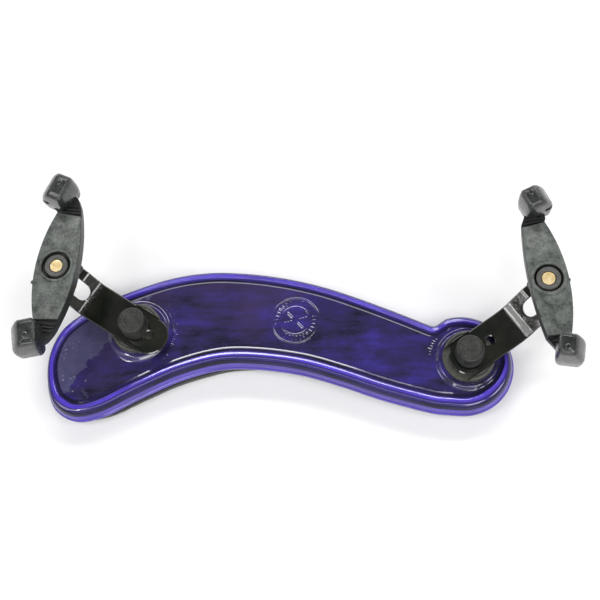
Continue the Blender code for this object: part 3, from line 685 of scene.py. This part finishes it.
def plate_reliefs():
    """A ring of ticks round a plain six-armed star, arcs of ticks, slanting ribs and studs."""
    strokes = [
        spoke(MEDAL_CENTRE, 7.3, 8.7 if k % 3 else 9.0, tau * k / 30, 0.16) for k in range(30)
    ]
    strokes += [spoke(MEDAL_CENTRE, 1.6, 4.9, tau * (k + 0.25) / 6, 0.22) for k in range(6)]
    strokes += tick_arc(seat_place("right"), 15.6, 148, 262, 27)
    strokes += tick_arc(seat_place("left"), 15.4, -38, 42, 21)
    strokes += LOBE_RIBS
    for row, x in enumerate(STUD_ROWS):
        for k in range(9):
            stud = (x + 0.3 * sin(2.1 * k + row), -15.5 + 2.0 * k + 0.7 * row)
            if (k + 2 * row) % 5:
                strokes.append((stud, (stud[0] + 0.35, stud[1] + 0.2), 0.2))
    return strokes


def make_plate():
    points, outwards = plate_outline()
    strokes = plate_reliefs()
    seats = [seat_place(side) for side in SIDES]
    boss_radii, boss_heights = zip(*BOSS_PROFILE)

    def boss(p):
        nearest = min(dist(p, seat) for seat in seats)
        return float(np.interp(nearest, boss_radii, boss_heights, right=0.0))

    def relief(p):
        height = 0.0
        middle = dist(p, MEDAL_CENTRE)
        if middle < MEDAL_RADIUS + 1:
            height = max(height, 1.1 * bump_of(abs(middle - MEDAL_RADIUS), 0.16, 0.25))
            height = max(height, 0.6 * bump_of(abs(middle - MEDAL_INNER_RADIUS), 0.1))
        for a, b, half_width in strokes:
            if abs(p[0] - a[0]) < 4 and abs(p[1] - a[1]) < 4:
                height = max(height, bump_of(to_segment(p, a, b), half_width))
        return RELIEF_HEIGHT * height

    bm = bmesh.new()
    glow = bm.verts.layers.float.new("glow")
    rows = []
    crest_passed = False
    for inset, height in RIM_PROFILE:
        row = []
        crest_passed = crest_passed or inset <= CREST_INSET
        for point, outward in zip(points, outwards):
            p = point - outward * (inset * rim_width(outward, inset))
            rise = height if crest_passed else max(height, boss(p))
            vert = bm.verts.new((p.x, p.y, floor_height(p.x) + rise))
            row.append(vert)
            vert[glow] = rim_glow(inset, height)
        rows.append(row)
    for upper, lower in zip(rows, rows[1:]):
        bridge(bm, upper, lower)

    count = len(points)
    bores = []
    for low_side in (False, True):
        fixed = list(rows[-1] if low_side else rows[0])
        rims = [(v.co.x, v.co.y) for v in fixed]
        verts2d = [Vector(p) for p in rims]
        edges = [(k, (k + 1) % count) for k in range(count)]
        for seat in seats:
            start = len(verts2d)
            ring = []
            for k in range(BORE_SIDES):
                p = around(seat, BORE_RADIUS, tau * k / BORE_SIDES)
                rise = -FLOOR_THICK if low_side else boss(p)
                ring.append(bm.verts.new((*p, floor_height(p[0]) + rise)))
                verts2d.append(Vector(p))
                edges.append((start + k, start + (k + 1) % BORE_SIDES))
            fixed += ring
            bores.append(ring)
        verts2d += [Vector(p) for p in floor_points(rims, seats, strokes, low_side)]
        new_points, _, faces, origins = delaunay_2d_cdt(verts2d, edges, [], 1, 1e-4)[:4]
        made = []
        for p, origin in zip(new_points, origins):
            known = [k for k in origin if k < len(fixed)]
            if known:
                made.append(fixed[known[0]])
                continue
            rise = -FLOOR_THICK if low_side else boss(p) + relief(p)
            made.append(bm.verts.new((p.x, p.y, floor_height(p.x) + rise)))
        for face in faces:
            centre = sum((new_points[k] for k in face), Vector((0.0, 0.0))) / len(face)
            if min(dist(centre, seat) for seat in seats) < BORE_RADIUS * 0.985:
                continue
            if len({made[k] for k in face}) == len(face):
                bm.faces.new([made[k] for k in face])
    bridge(bm, bores[0], bores[2])
    bridge(bm, bores[1], bores[3])
    bmesh.ops.recalc_face_normals(bm, faces=bm.faces)
    piece("plate_shell", bm, Matrix(), "purple_plastic", "pad", "plate", 50)


def rim_width(outward, inset):
    """The rim is widest along the near side; its outermost part is the same all round."""
    near = clamped(-1.3 * outward.y)
    wide = NARROW_RIM + (WIDE_RIM - NARROW_RIM) * near
    return 1.0 + (wide - 1.0) * clamped((inset - 1.2) / 3.0)


def rim_glow(inset, height):
    """How light a place on the rim is painted, see purple_plastic(): the slope and lip are painted
    bright as light shining through the plastic, and the bands by the step and below the crest are
    painted dark as shade.
    """
    if height < -0.9:
        return 1.0
    if height < 1.9 and inset < 2.2:
        return 0.2
    if inset > 7.1:
        return 0.0
    if inset > 5.95:
        return 0.2
    return 0.8 if inset > 3.3 else 0.5


def inside_loop(p, loop):
    """Whether p lies inside a closed outline."""
    inside = False
    x, y = p
    for (ax, ay), (bx, by) in zip(loop, loop[1:] + loop[:1]):
        if (ay > y) != (by > y) and x < (bx - ax) * (y - ay) / (by - ay) + ax:
            inside = not inside
    return inside


def near_medal_ring(p, gap):
    middle = dist(p, MEDAL_CENTRE)
    return min(abs(middle - MEDAL_RADIUS), abs(middle - MEDAL_INNER_RADIUS)) < gap


def near_relief(p, strokes, gap):
    if 4 <= dist(p, MEDAL_CENTRE) < MEDAL_RADIUS + 1.2:
        return True
    return any(abs(p[0] - a[0]) < 4 and to_segment(p, a, b) < gap for a, b, _ in strokes)


def floor_points(rim, seats, strokes, coarse):
    """Points for the floor's mesh: a grid, rings round the bosses, and fine grids at reliefs."""
    rim_array = np.array(rim)
    clear_of_seat = BORE_RADIUS + 0.8 if coarse else 15.0

    def on_floor(p, gap):
        return np.min(np.hypot(*(rim_array - p).T)) > gap and inside_loop(p, rim)

    def free(p, gap):
        return min(dist(p, seat) for seat in seats) >= clear_of_seat and on_floor(p, gap)

    spacing = FLOOR_GRID * (3 if coarse else 1)
    points = []
    for row in range(int(80 / spacing)):
        for column in range(int(210 / spacing)):
            p = (-104 + (column + 0.5 * (row % 2)) * spacing, -36 + row * spacing)
            if free(p, 0.9) and (coarse or not near_relief(p, strokes, 0.9)):
                points.append(p)
    if coarse:
        return points
    for seat in seats:
        for radius in BOSS_RINGS:
            ring = [around(seat, radius, tau * (k + 0.5) / 96) for k in range(96)]
            points += [p for p in ring if on_floor(p, 0.35)]
    for ring_radius in (MEDAL_RADIUS, MEDAL_INNER_RADIUS):
        for offset in (-0.6, -0.4, -0.25, -0.1, 0.1, 0.25, 0.4, 0.6):
            radius = ring_radius + offset
            points += [around(MEDAL_CENTRE, radius, tau * k / 180) for k in range(180)]
    fine = set()
    for a, b, _ in strokes:
        columns, rows = (
            range(int(min(ends) / RELIEF_GRID) - 3, int(max(ends) / RELIEF_GRID) + 4)
            for ends in zip(a, b)
        )
        fine |= {(column, row) for column in columns for row in rows}
    grid = [(column * RELIEF_GRID, row * RELIEF_GRID) for column, row in sorted(fine)]
    return points + [p for p in grid if not near_medal_ring(p, 0.7) and free(p, 0.5)]


def foam_bulge(point, outward):
    """How far the foam's foot stands out past its usual line: on the near left it is proud."""
    near = clamped(-1.6 * outward.y)
    along = float(np.interp(point.x, (-86, -66, -30, -6), (0.0, 1.0, 1.0, 0.0)))
    return FOAM_PROUD * near * along


def make_foam():
    """The foam pad, with a slightly crowned and uneven side wall."""
    points, outwards = plate_outline()
    points, outwards = points[::2], outwards[::2]
    # (inset, height), first below the plate's floor and then above the ground
    hanging = [
        (9.0, -3.5), (4.6, -3.5), (3.9, -3.65), (3.5, -4.1), (3.4, -4.8), (3.4, -6.5), (2.6, -6.5),
        (2.05, -6.62), (1.75, -7.0),
    ]
    standing = [(1.6, 1.6), (1.7, 0.7), (2.0, 0.2), (2.6, 0.0), (9.0, 0.0)]
    bm = bmesh.new()
    rows = []
    for level, (inset, height) in enumerate(hanging + standing):
        grounded = level >= len(hanging)
        row = []
        for point, outward in zip(points, outwards):
            wobble = RANDOM.uniform(-0.05, 0.05) if 2 < level < 11 else 0.0
            proud = foam_bulge(point, outward) if level > 5 else 0.0
            p = point - outward * (inset + wobble - proud)
            z = height if grounded else floor_height(p.x) + height
            if not grounded and level > 6:
                z = max(z, 2.2)
            row.append(bm.verts.new((p.x, p.y, max(z, 0.0))))
        rows.append(row)
    for upper, lower in zip(rows, rows[1:]):
        bridge(bm, upper, lower)
    caps = [bm.faces.new(rows[0]), bm.faces.new(rows[-1])]
    bmesh.ops.triangulate(bm, faces=caps, ngon_method="BEAUTY")
    bmesh.ops.recalc_face_normals(bm, faces=bm.faces)
    foam = piece("foam_body", bm, Matrix(), "foam", "pad", "foam_pad", 60)


# ---- seat disc, clamp and arm ----
def make_seat_disc(side):
    bore, edge, low, top = SCREW_BORE, DISC_RADIUS, DISC_LOW, DISC_TOP
    profile = [
        (bore, top - 0.5), (6.2, top - 0.5), (6.6, top - 0.15), (7.0, top), (8.95, top),
        (9.15, top - 0.12), (9.25, top - 0.4), (9.55, top - 0.4), (9.65, top - 0.12), (9.8, top),
        (10.2, top), (10.55, top - 0.12), (10.8, top - 0.35), (edge, top - 0.7), (edge, low + 0.5),
        (10.75, low + 0.15), (10.4, low), (bore, low),
    ]
    channel = box((-30, -CHANNEL_HALF, DISC_WEB_TOP), (30, CHANNEL_HALF, 20))
    disc = combined(lathe(profile, 120, closed=True), ("DIFFERENCE", channel))
    side_piece(side, "seat_ring", disc, "seat", "seat_plastic", "arm", "seat_disc")


def make_washer(side):
    bore, edge, low, top = SCREW_BORE, WASHER_RADIUS, WASHER_LOW, WASHER_TOP
    profile = [
        (bore, top - 0.12), (bore + 0.12, top), (edge - 0.2, top), (edge - 0.05, top - 0.07),
        (edge, top - 0.2), (edge, low + 0.2), (edge - 0.15, low), (bore + 0.12, low),
        (bore, low + 0.12),
    ]
    washer = lathe(profile, closed=True)
    side_piece(side, "washer", washer, "seat", "zinc_steel", "clamp", "clamp_washer")


def make_knob(side):
    """Thumb knob: fluted skirt, and a top with a ring of small raised dots."""
    bore, foot, low, top = SCREW_BORE, KNOB_FOOT_RADIUS, KNOB_LOW, KNOB_TOP
    dish = top - 0.3
    profile = [
        (0.0, dish), (4.65, dish), (4.8, dish + 0.12), (4.95, top), (5.2, top), (5.45, top - 0.1),
        (5.65, top - 0.3), (KNOB_HEAD_RADIUS, top - 0.65), (5.82, top - 1.5), (5.85, low + 2.6),
        (5.88, low + 1.5), (foot, low + 1.2), (foot, low + 0.4), (5.85, low + 0.1), (5.6, low),
        (bore + 0.3, low), (bore, low + 0.3), (bore, low + 4.3), (0.0, low + 4.3),
    ]
    middle = (0.0, 0.0)
    dots = [(around(middle, 3.75, tau * k / 17), 0.42) for k in range(17)]
    dots += [(around(middle, 2.3, tau * (k + 0.5) / 10), 0.40) for k in range(10)]
    dots += [(around(middle, 0.85, tau * k / 3), 0.38) for k in range(3)]

    def shape(radius, height, angle):
        if height >= dish - 0.01 and radius < 4.6:
            p = around(middle, radius, angle)
            return radius, height + 0.28 * max(
                bump_of(dist(p, dot), size * 0.4, size) for dot, size in dots
            )
        if low + 1.4 < height < top - 0.5 and radius > 5.7:
            fade = min(1.0, (height - low - 1.4) / 0.6, (top - 0.5 - height) / 0.6)
            return radius - 0.16 * fade * abs(sin(angle * 15)) ** 0.7, height
        return radius, height

    knob = lathe(fine_profile(profile, 0.2), 180, shape)
    side_piece(side, "thumb_knob", knob, "seat", "knob_plastic", "knob", "clamp_knob", 50)


def thread_shape(low, high, depth):
    """A shape for lathe() that cuts a helical thread between two heights."""
    def shape(radius, height, angle):
        if radius < STEM_RADIUS - 0.1 or not low < height < high:
            return radius, height
        phase = (height / THREAD_PITCH - angle / tau) % 1.0
        return radius - depth * (1 - abs(2 * phase - 1)), height
    return shape


def make_screw(side):
    top = KNOB_LOW + 4.0
    profile = [(0.0, top), (2.0, top), (2.0, -1.6), (1.7, -2.0), (0.0, -2.0)]
    screw = lathe(fine_profile(profile, 0.14), 40, thread_shape(-1.6, top - 0.3, 0.32))
    side_piece(side, "screw", screw, "seat", "zinc_steel", "knob", "clamp_screw", 60)


def strip_path(spec):
    """The strip's middle line as (length, turn) pieces from x = bend start, in mm and degrees."""
    lead = spec["bend_radius"] * tan(radians(spec["bend_angle"]) / 2)
    approach = 6.0
    kick = degrees(asin(EYE_MID_RADIUS / approach))
    straight = spec["rise_length"] - lead - approach
    kick_radius = 1.5
    kick_length = kick_radius * radians(kick)
    to_circle = sqrt(approach**2 - EYE_MID_RADIUS**2) - kick_length / 2
    return spec["bend_at"] - lead, [
        (spec["bend_radius"] * radians(spec["bend_angle"]), spec["bend_angle"]),
        (straight - kick_length / 2, 0.0),
        (kick_length, -kick),
        (to_circle, 0.0),
        (EYE_MID_RADIUS * radians(EYE_TURN), EYE_TURN),
    ]


def along_strip(s, start, pieces):
    """Place (x, z) and slope of the strip's middle line at a developed length s."""
    x, z, slope = s, ARM_MID, 0.0
    if s <= start:
        return x, z, slope
    x, left = start, s - start
    for number, (length, turn) in enumerate(pieces):
        part = min(left, length) if number < len(pieces) - 1 else left
        bend = radians(turn) * part / length
        if abs(bend) < 1e-9:
            x += part * cos(slope)
            z += part * sin(slope)
        else:
            radius = part / bend
            x += radius * (sin(slope + bend) - sin(slope))
            z += radius * (cos(slope) - cos(slope + bend))
        slope += bend
        left -= part
        if left <= 1e-9:
            break
    return x, z, slope


def make_arm(side, spec):
    """The steel strip, cut flat with its edges broken and then bent and rolled."""
    start, pieces = strip_path(spec)
    total = start + sum(length for length, _ in pieces)
    to_eye = start + sum(length for length, _ in pieces[:-1])
    slot_start = to_eye - spec["slot_reach"]
    end = spec["inner_end"]
    outline = [
        (total, SLOT_HALF + 0.05), *arc((slot_start, 0.0), SLOT_HALF, 90, 270, 24),
        (total, -SLOT_HALF - 0.05), (total, -ARM_HALF), *arc((end, 0.0), ARM_HALF, 270, 90, 48),
        (total, ARM_HALF),
    ]
    holes = [
        arc((0.0, 0.0), SCREW_BORE, 360, 10, 35),
        arc((spec["spare_hole"], 0.0), SPARE_HOLE, 360, 10, 35),
    ]
    flat = prism([outline, *holes], -ARM_THICK / 2, ARM_THICK / 2, ARM_CHAMFER, 0)
    for x in np.arange(start - 2.0, total - 0.05, 0.5):
        geometry = [*flat.verts, *flat.edges, *flat.faces]
        bmesh.ops.bisect_plane(flat, geom=geometry, plane_co=(x, 0, 0), plane_no=(1, 0, 0))
    bmesh.ops.triangulate(flat, faces=[f for f in flat.faces if len(f.verts) > 4])
    layer = flat.verts.layers.float.new("bend")
    bend_length = pieces[0][0]
    for vert in flat.verts:
        s, thick = vert.co.x, vert.co.z
        x, z, slope = along_strip(s, start, pieces)
        # The bend attribute carries both the crazing bump and the painted glint flecks of
        # lacquered_steel.
        marks = bump_of(abs(s - start - bend_length / 2), 0.3 * bend_length, 1.3)
        vert[layer] = marks * spec["lacquer_marks"]
        vert.co.x = x - thick * sin(slope)
        vert.co.z = z + thick * cos(slope)
    bmesh.ops.recalc_face_normals(flat, faces=flat.faces)
    side_piece(side, "bent_arm", flat, "seat", "lacquered_steel", "arm", "arm", 40)


# ---- pivot nut, wheel, stem and hub ----
def make_pivot_nut(side):
    pin, tip, edge, half = PIN_RADIUS, PIN_REACH, NUT_RADIUS, NUT_HALF_LENGTH
    profile = [
        (0.0, tip), (pin - 0.25, tip), (pin, tip - 0.25), (pin, half + 0.25), (pin + 0.2, half),
        (edge - 0.35, half), (edge - 0.08, half - 0.12), (edge, half - 0.4), (edge, 0.0),
    ]
    profile += [(radius, -height) for radius, height in reversed(profile[:-1])]
    bore = cylinder(STEM_RADIUS + 0.3, -10, 10, 72)
    bmesh.ops.rotate(bore, verts=bore.verts, matrix=Matrix.Rotation(radians(90), 3, "X"))
    nut = combined(lathe(profile, 84), ("DIFFERENCE", bore))
    turned = FRAMES[side]["pivot"] @ Matrix.Rotation(radians(90), 4, "X")
    piece(side + "_cross_nut", nut, turned, "zinc_steel", side + "_pivot", side + "_pivot_nut")


def make_wheel(side):
    bore, edge, low, top = STEM_RADIUS + 0.3, WHEEL_RADIUS, WHEEL_LOW, WHEEL_TOP
    profile = [
        (bore, top - 0.3), (STEM_RADIUS + 0.6, top), (4.6, top), (4.8, top - 0.2),
        (edge - 0.35, top - 0.25), (edge, top - 0.55), (edge, low + 0.55),
        (edge - 0.35, low + 0.25), (4.8, low + 0.2), (4.6, low), (STEM_RADIUS + 0.6, low),
        (bore, low + 0.3),
    ]

    def knurl(radius, height, angle):
        if radius > edge - 0.2:
            return radius - 0.22 * (0.5 + 0.5 * cos(angle * 32)), height
        return radius, height

    wheel = lathe(fine_profile(profile, 0.4), 192, knurl, closed=True)
    side_piece(side, "knurled_wheel", wheel, "pivot", "wheel_plastic", "wheel", "height_wheel", 50)


def make_stem(side):
    """Brass stem with a turned, slightly dished head and a rolled thread."""
    head, edge, stem, foot = 0.1, STEM_HEAD_RADIUS, STEM_RADIUS, STEM_FOOT
    profile = [
        (0.0, head - 0.06), (0.5, head - 0.06), (1.0, head - 0.05), (2.0, head), (2.45, head),
        (2.62, head - 0.08), (edge, head - 0.25), (edge, -4.7), (2.5, -4.9), (stem, -4.9),
        (stem, -5.6), (stem, foot + 0.5), (stem - 0.5, foot), (0.0, foot),
    ]
    thread = thread_shape(foot + 0.5, -8.0, 0.3)

    def shape(radius, height, angle):
        if height > head - 0.1 and radius < 2.4:
            return radius, height - 0.025 * (0.5 + 0.5 * cos(radius * 14))
        return thread(radius, height, angle)

    turned = lathe(fine_profile(profile, 0.13), 44, shape)
    side_piece(side, "brass_stem", turned, "fork", "brass", "stem", "stem", 60)


def make_hub(side):
    """The ring the fork turns on: a dished top round the brass head."""
    low = -FORK_THICK - 0.3
    bore, seat, edge, flange = (
        STEM_RADIUS + 0.3, STEM_HEAD_RADIUS + 0.3, HUB_RADIUS, HUB_FLANGE_RADIUS
    )
    profile = [
        (seat, -0.1), (3.1, 0.08), (3.3, 0.15), (3.9, 0.15), (4.1, 0.26), (4.5, 0.3), (4.75, 0.22),
        (edge, -0.05), (edge, low + 0.15), (edge + 0.15, low), (flange - 0.2, low),
        (flange, low - 0.2), (flange, low - 1.0), (flange - 0.2, low - 1.2), (bore, low - 1.2),
        (bore, -5.2), (seat, -5.2),
    ]
    hub = lathe(profile, closed=True)
    side_piece(side, "hub_ring", hub, "fork", "hub_plastic", "stem", "hub")


# ---- fork and boots ----
def fork_outline(spec, grow=0.0):
    """The crescent outline in the fork's own axes (mm)."""
    reach = {end: spec["boot_" + end] + spec["tip_over_boot"] for end in ENDS}
    radius, rounding = spec["inner_edge_radius"], spec["tip_round"]
    inner_centre = (0.0, radius - spec["inner_half"])
    starts = {end: degrees(asin((r - rounding) / radius)) for end, r in reach.items()}
    inner = arc(inner_centre, radius + grow, 270 - starts["front"], 270 + starts["back"], 40)
    outer_centre = (0.0, spec["outer_half"] - OUTER_EDGE_RADIUS)
    swing = degrees(asin(1.04 * DECK_HALF_LENGTH / OUTER_EDGE_RADIUS))
    outer = arc(outer_centre, OUTER_EDGE_RADIUS + grow, 90 - swing, 90 + swing, 40)
    tips = {}
    for end, sign in ENDS.items():
        x, y = reach[end], spec["boot_offset"]
        inner_y = inner_centre[1] - sqrt(radius**2 - (x - rounding) ** 2)
        corners = [
            (x - rounding, inner_y - grow),
            (x - 0.46 * rounding + grow / 2, inner_y + 0.3 * rounding - grow),
            (x - 0.14 * rounding + grow, inner_y + 0.72 * rounding - grow),
            (x + grow, y - 0.4), (x - 1.2 + grow, y + 1.8 + grow), (x - 3.6, y + 3.2 + grow),
            (x - 7.5, y + 3.0 + grow), (x - 11.0, y + 3.4),
        ]
        tips[end] = [(sign * px, py) for px, py in smooth_path(corners, 0.8)]
    points = [*inner, *tips["back"], *outer, *reversed(tips["front"])]
    return [(x, -y * spec["outward"]) for x, y in points]


def standing_prism(outline_xz, half_width):
    """An outline in X and Z made solid across Y."""
    bm = bmesh.new()
    fronts = [bm.verts.new((x, -half_width, z)) for x, z in outline_xz]
    backs = [bm.verts.new((x, half_width, z)) for x, z in outline_xz]
    bm.faces.new(fronts)
    bm.faces.new(backs)
    bridge(bm, fronts, backs)
    bmesh.ops.recalc_face_normals(bm, faces=bm.faces)
    return bm


def make_fork(side, spec):
    body = prism(fork_outline(spec), -FORK_THICK, 0.0, 0.55, 4)
    collar = lathe([
        (0.0, 0.8), (6.5, 0.8), (6.9, 0.72), (7.2, 0.45), (7.34, 0.1), (7.38, -0.4),
        (7.3, -3.1), (0.0, -3.1),
    ])
    groove = spec["groove_radius"]
    bore = lathe([
        (0.0, 5.0), (groove + 0.5, 5.0), (groove + 0.4, 0.85), (groove + 0.12, 0.62),
        (groove, 0.3), (groove - 0.05, -1.6), (FORK_BORE, -2.0), (FORK_BORE, -12.0), (0.0, -12.0),
    ])
    steps = [("UNION", collar), ("DIFFERENCE", bore)]
    for end, sign in ENDS.items():
        edge = sign * DECK_HALF_LENGTH
        lip, far = edge - sign * 0.4, sign * 60
        cut = standing_prism([
            (edge, POCKET_FLOOR), (edge, -0.4), (edge - sign * 0.12, -0.16), (lip, 0.0),
            (lip, 5.0), (far, 5.0), (far, POCKET_FLOOR),
        ], 40)
        turn = Matrix.Rotation(radians(POCKET_TURN * sign * spec["outward"]), 3, "Z")
        bmesh.ops.rotate(cut, verts=cut.verts, cent=(edge, 0.0, 0.0), matrix=turn)
        steps.append(("DIFFERENCE", cut))
        low, middle = POCKET_FLOOR - 0.5, -spec["boot_offset"] * spec["outward"] * 0.5
        for k in range(3):
            x = edge + sign * (1.3 + 1.5 * k)
            rib = box((x - 0.3, middle - 9, low), (x + 0.3, middle + 9, POCKET_FLOOR + 1.1))
            walls = prism(fork_outline(spec, -0.6), -FORK_THICK, FORK_THICK)
            steps.append(("UNION", combined(rib, ("INTERSECT", walls))))
    nub_y = -spec["outward"] * (spec["outer_half"] - 0.35)
    steps.append(("UNION", cylinder(0.8, -4.6, -0.7, 24, spec["nub_at"], nub_y)))
    fork = combined(body, *steps)
    # deck is 1 on the top face only; the sides, pockets and groove, at 0, are painted dark as shade
    # by filled_nylon.
    deck = fork.verts.layers.float.new("deck")
    for vert in fork.verts:
        in_groove = hypot(vert.co.x, vert.co.y) < groove + 0.1
        vert[deck] = 1.0 if vert.co.z > -0.12 and not in_groove else 0.0
    side_piece(side, "crescent_fork", fork, "fork", "filled_nylon", "fork", "fork", 40)


def rounded_block(half, radius, cuts):
    """A cube of fine quads blown out to a box with round edges; half is (x, y, z)."""
    bm = bmesh.new()
    bmesh.ops.create_cube(bm, size=2.0)
    bmesh.ops.subdivide_edges(bm, edges=bm.edges, cuts=cuts, use_grid_fill=True)
    inner = [h - radius for h in half]
    for vert in bm.verts:
        p = Vector(c * h for c, h in zip(vert.co, half))
        core = Vector(min(max(c, -i), i) for c, i in zip(p, inner))
        out = p - core
        vert.co = core + (out.normalized() * radius if out.length > 1e-9 else out)
    return bm


def bellied(z, reaches):
    """A smooth curve over height through a boot's reach at its foot, belly and top."""
    low, middle, high = BOOT_HEIGHTS
    t = (z - middle) / (high - middle if z > middle else middle - low)
    end = reaches[2] if t > 0 else reaches[0]
    return reaches[1] + (end - reaches[1]) * abs(t) ** 1.6


def make_boot(side, spec, end):
    """A rubber block, upright inside and sloping outside, with a pad, a dimple and a notch."""
    sign = ENDS[end]
    outward, scale = spec["outward"], spec["scale_" + end]
    stretch = scale * spec["boot_stretch"]
    x0, y0 = sign * spec["boot_" + end], -spec["boot_offset"] * outward
    half = (5.3, 6.0, (BOOT_HEIGHTS[2] - BOOT_HEIGHTS[0]) / 2)
    middle = (BOOT_HEIGHTS[2] + BOOT_HEIGHTS[0]) / 2
    boot = rounded_block(half, 2.5, 40)
    layer = boot.verts.layers.float.new("greyer_edges")
    turn = Matrix.Rotation(radians(BOOT_TURN * sign * outward), 3, "Z")
    for vert in boot.verts:
        u, v, z = vert.co.x / half[0], vert.co.y / half[1], vert.co.z + middle
        length = bellied(z, BOOT_HALF_LENGTHS)
        low = -bellied(z, BOOT_INWARDS)
        high = bellied(z, BOOT_OUTWARDS)
        x, y = u * length * stretch, (low + (high - low) * (v + 1) / 2) * scale
        top = clamped((z - 8.3) / 0.4)
        pad = bump_of(abs(u), 0.62, 0.2) * bump_of(abs(v + 0.05), 0.55, 0.25)
        nub = dist((x, y), (0.35 * length * sign, -1.6))
        rise = 0.25 * pad + 0.22 * bump_of(abs(nub - 0.75), 0.1, 0.35)
        rise -= 0.5 * bump_of(nub, 0.25, 0.45)
        corner = abs(u) ** 6 + abs(v) ** 6 + abs(vert.co.z / half[2]) ** 6
        # The rounded corners and edges are mixed lighter grey in the colour.
        vert[layer] = clamped(corner - 1.1)
        vert.co = turn @ Vector((x, -y * outward, z - middle + (rise - 0.25) * top))
    notch = rounded_block((1.2, 1.5, 1.0), 0.5, 6)
    side_of_notch = turn @ Vector((-sign * 5.2 * stretch, -outward * 3.2, 0.9))
    bmesh.ops.translate(notch, verts=notch.verts, vec=side_of_notch)
    tip = prism([(px - x0, py - y0) for px, py in fork_outline(spec, 0.3)],
                -2 * FORK_THICK - middle, POCKET_FLOOR + 0.3 - middle)
    boot = combined(boot, ("DIFFERENCE", notch), ("DIFFERENCE", tip))
    place = FRAMES[side]["fork"] @ Matrix.Translation((x0 * MM, y0 * MM, middle * MM))
    name, node = side + "_rubber_boot_" + end, side + "_boot_" + end
    piece(name, boot, place, "boot_rubber", side + "_fork", node, 42)


# ---- stage ----
def make_stage():
    """A pale floor, lit near the object by the lamps and pale by itself farther off."""
    bm = bmesh.new()
    under = Matrix.Translation((0, 0, -0.0002))
    bmesh.ops.create_grid(bm, x_segments=1, y_segments=1, size=2.5, matrix=under)
    floor = object_of("studio_floor", bm)
    m = Nodes("studio_floor")
    glow = m.span(m.maths("LENGTH", m.place, kind="VectorMath"), 0.7, 1.7, 0.0, 0.85)
    m.set(Roughness=0.9, Specular_IOR_Level=0.1)
    m.set(Emission_Color=(1.0, 1.0, 1.0), Emission_Strength=glow)
    m.colour(m.mix(m.noise(6, 2), (0.90, 0.90, 0.90), (0.93, 0.93, 0.925)))
    floor.data.materials.append(m.material)


def area_light(name, place, size, power, target=(0.0, 0.0, 0.0)):
    light = bpy.data.lights.new(name, "AREA")
    light.shape = "RECTANGLE"
    light.size, light.size_y = size
    light.energy = power
    lamp = placed(name, light)
    lamp.location = place
    lamp.rotation_euler = (Vector(target) - Vector(place)).to_track_quat("-Z", "Y").to_euler()


def make_lights():
    """Long soft boxes behind and in front, softer ones at the sides, and a pale world."""
    area_light("back_softbox", (0.0, 0.75, 0.72), (1.2, 0.16), 7.0)
    area_light("front_strip", (0.05, -0.85, 0.40), (1.2, 0.14), 3.0)
    area_light("overhead_strip", (-0.13, -0.27, 1.05), (1.1, 0.11), 1.6)
    right_bend, left_bend = (0.098, 0.01, 0.02), (-0.085, 0.02, 0.02)
    area_light("left_softbox", (-0.58, -0.12, 0.75), (0.34, 0.42), 1.3, right_bend)
    area_light("left_high_strip", (-0.45, 0.02, 0.92), (0.34, 0.035), 0.5, right_bend)
    area_light("left_low_strip", (-0.71, -0.22, 0.65), (0.34, 0.025), 0.4, right_bend)
    area_light("right_softbox", (0.71, -0.17, 0.60), (0.34, 0.32), 2.2, left_bend)
    area_light("key_softbox", (0.45, -0.55, 0.95), (0.45, 0.45), 3.5)
    world = bpy.data.worlds.new("studio")
    bpy.context.scene.world = world
    sky = Nodes("studio", world, "Background")
    up = sky.new("SeparateXYZ", Vector=sky.coordinates["Generated"]).outputs["Z"]
    greys = (0.03, 1.15), (0.1, 0.62), (0.8, (0.12, 0.12, 0.125))
    sky.set(Color=sky.ramp(up, *greys), Strength=0.8)


def make_camera():
    """A long lens above the near edge, as a product picture is taken."""
    target = Vector((10.3, 17.25, 20.0)) * MM
    towards = Vector((0.12, -0.37, 0.92)).normalized()
    up = towards.cross(Vector((1, 0, 0))).normalized()
    right = up.cross(towards)
    data = bpy.data.cameras.new("camera")
    data.sensor_width = 36.0
    data.lens = 75.0
    data.clip_start = 0.01
    camera = placed("camera", data)
    axes = Matrix((right, up, towards)).transposed().to_4x4()
    camera.matrix_world = Matrix.Translation(target + towards * 0.527) @ axes
    bpy.context.scene.camera = camera


def paint_cad(node, slot):
    """Give a CAD node that stays a procedural material."""
    obj = frame["nodes"][node]
    obj.data.materials.clear()
    obj.data.materials.append(MATERIALS[slot])


make_camera()
make_stage()
make_lights()
bpy.context.scene.view_settings.view_transform = "Standard"
make_plate()
make_foam()
paint_cad("adhesive_film", "adhesive")
for side, spec in SIDES.items():
    paint_cad(side + "_threaded_insert", "brass")
    make_seat_disc(side)
    make_arm(side, spec)
    make_washer(side)
    make_knob(side)
    make_screw(side)
    make_pivot_nut(side)
    make_wheel(side)
    make_stem(side)
    make_hub(side)
    make_fork(side, spec)
    for end in ENDS:
        make_boot(side, spec, end)
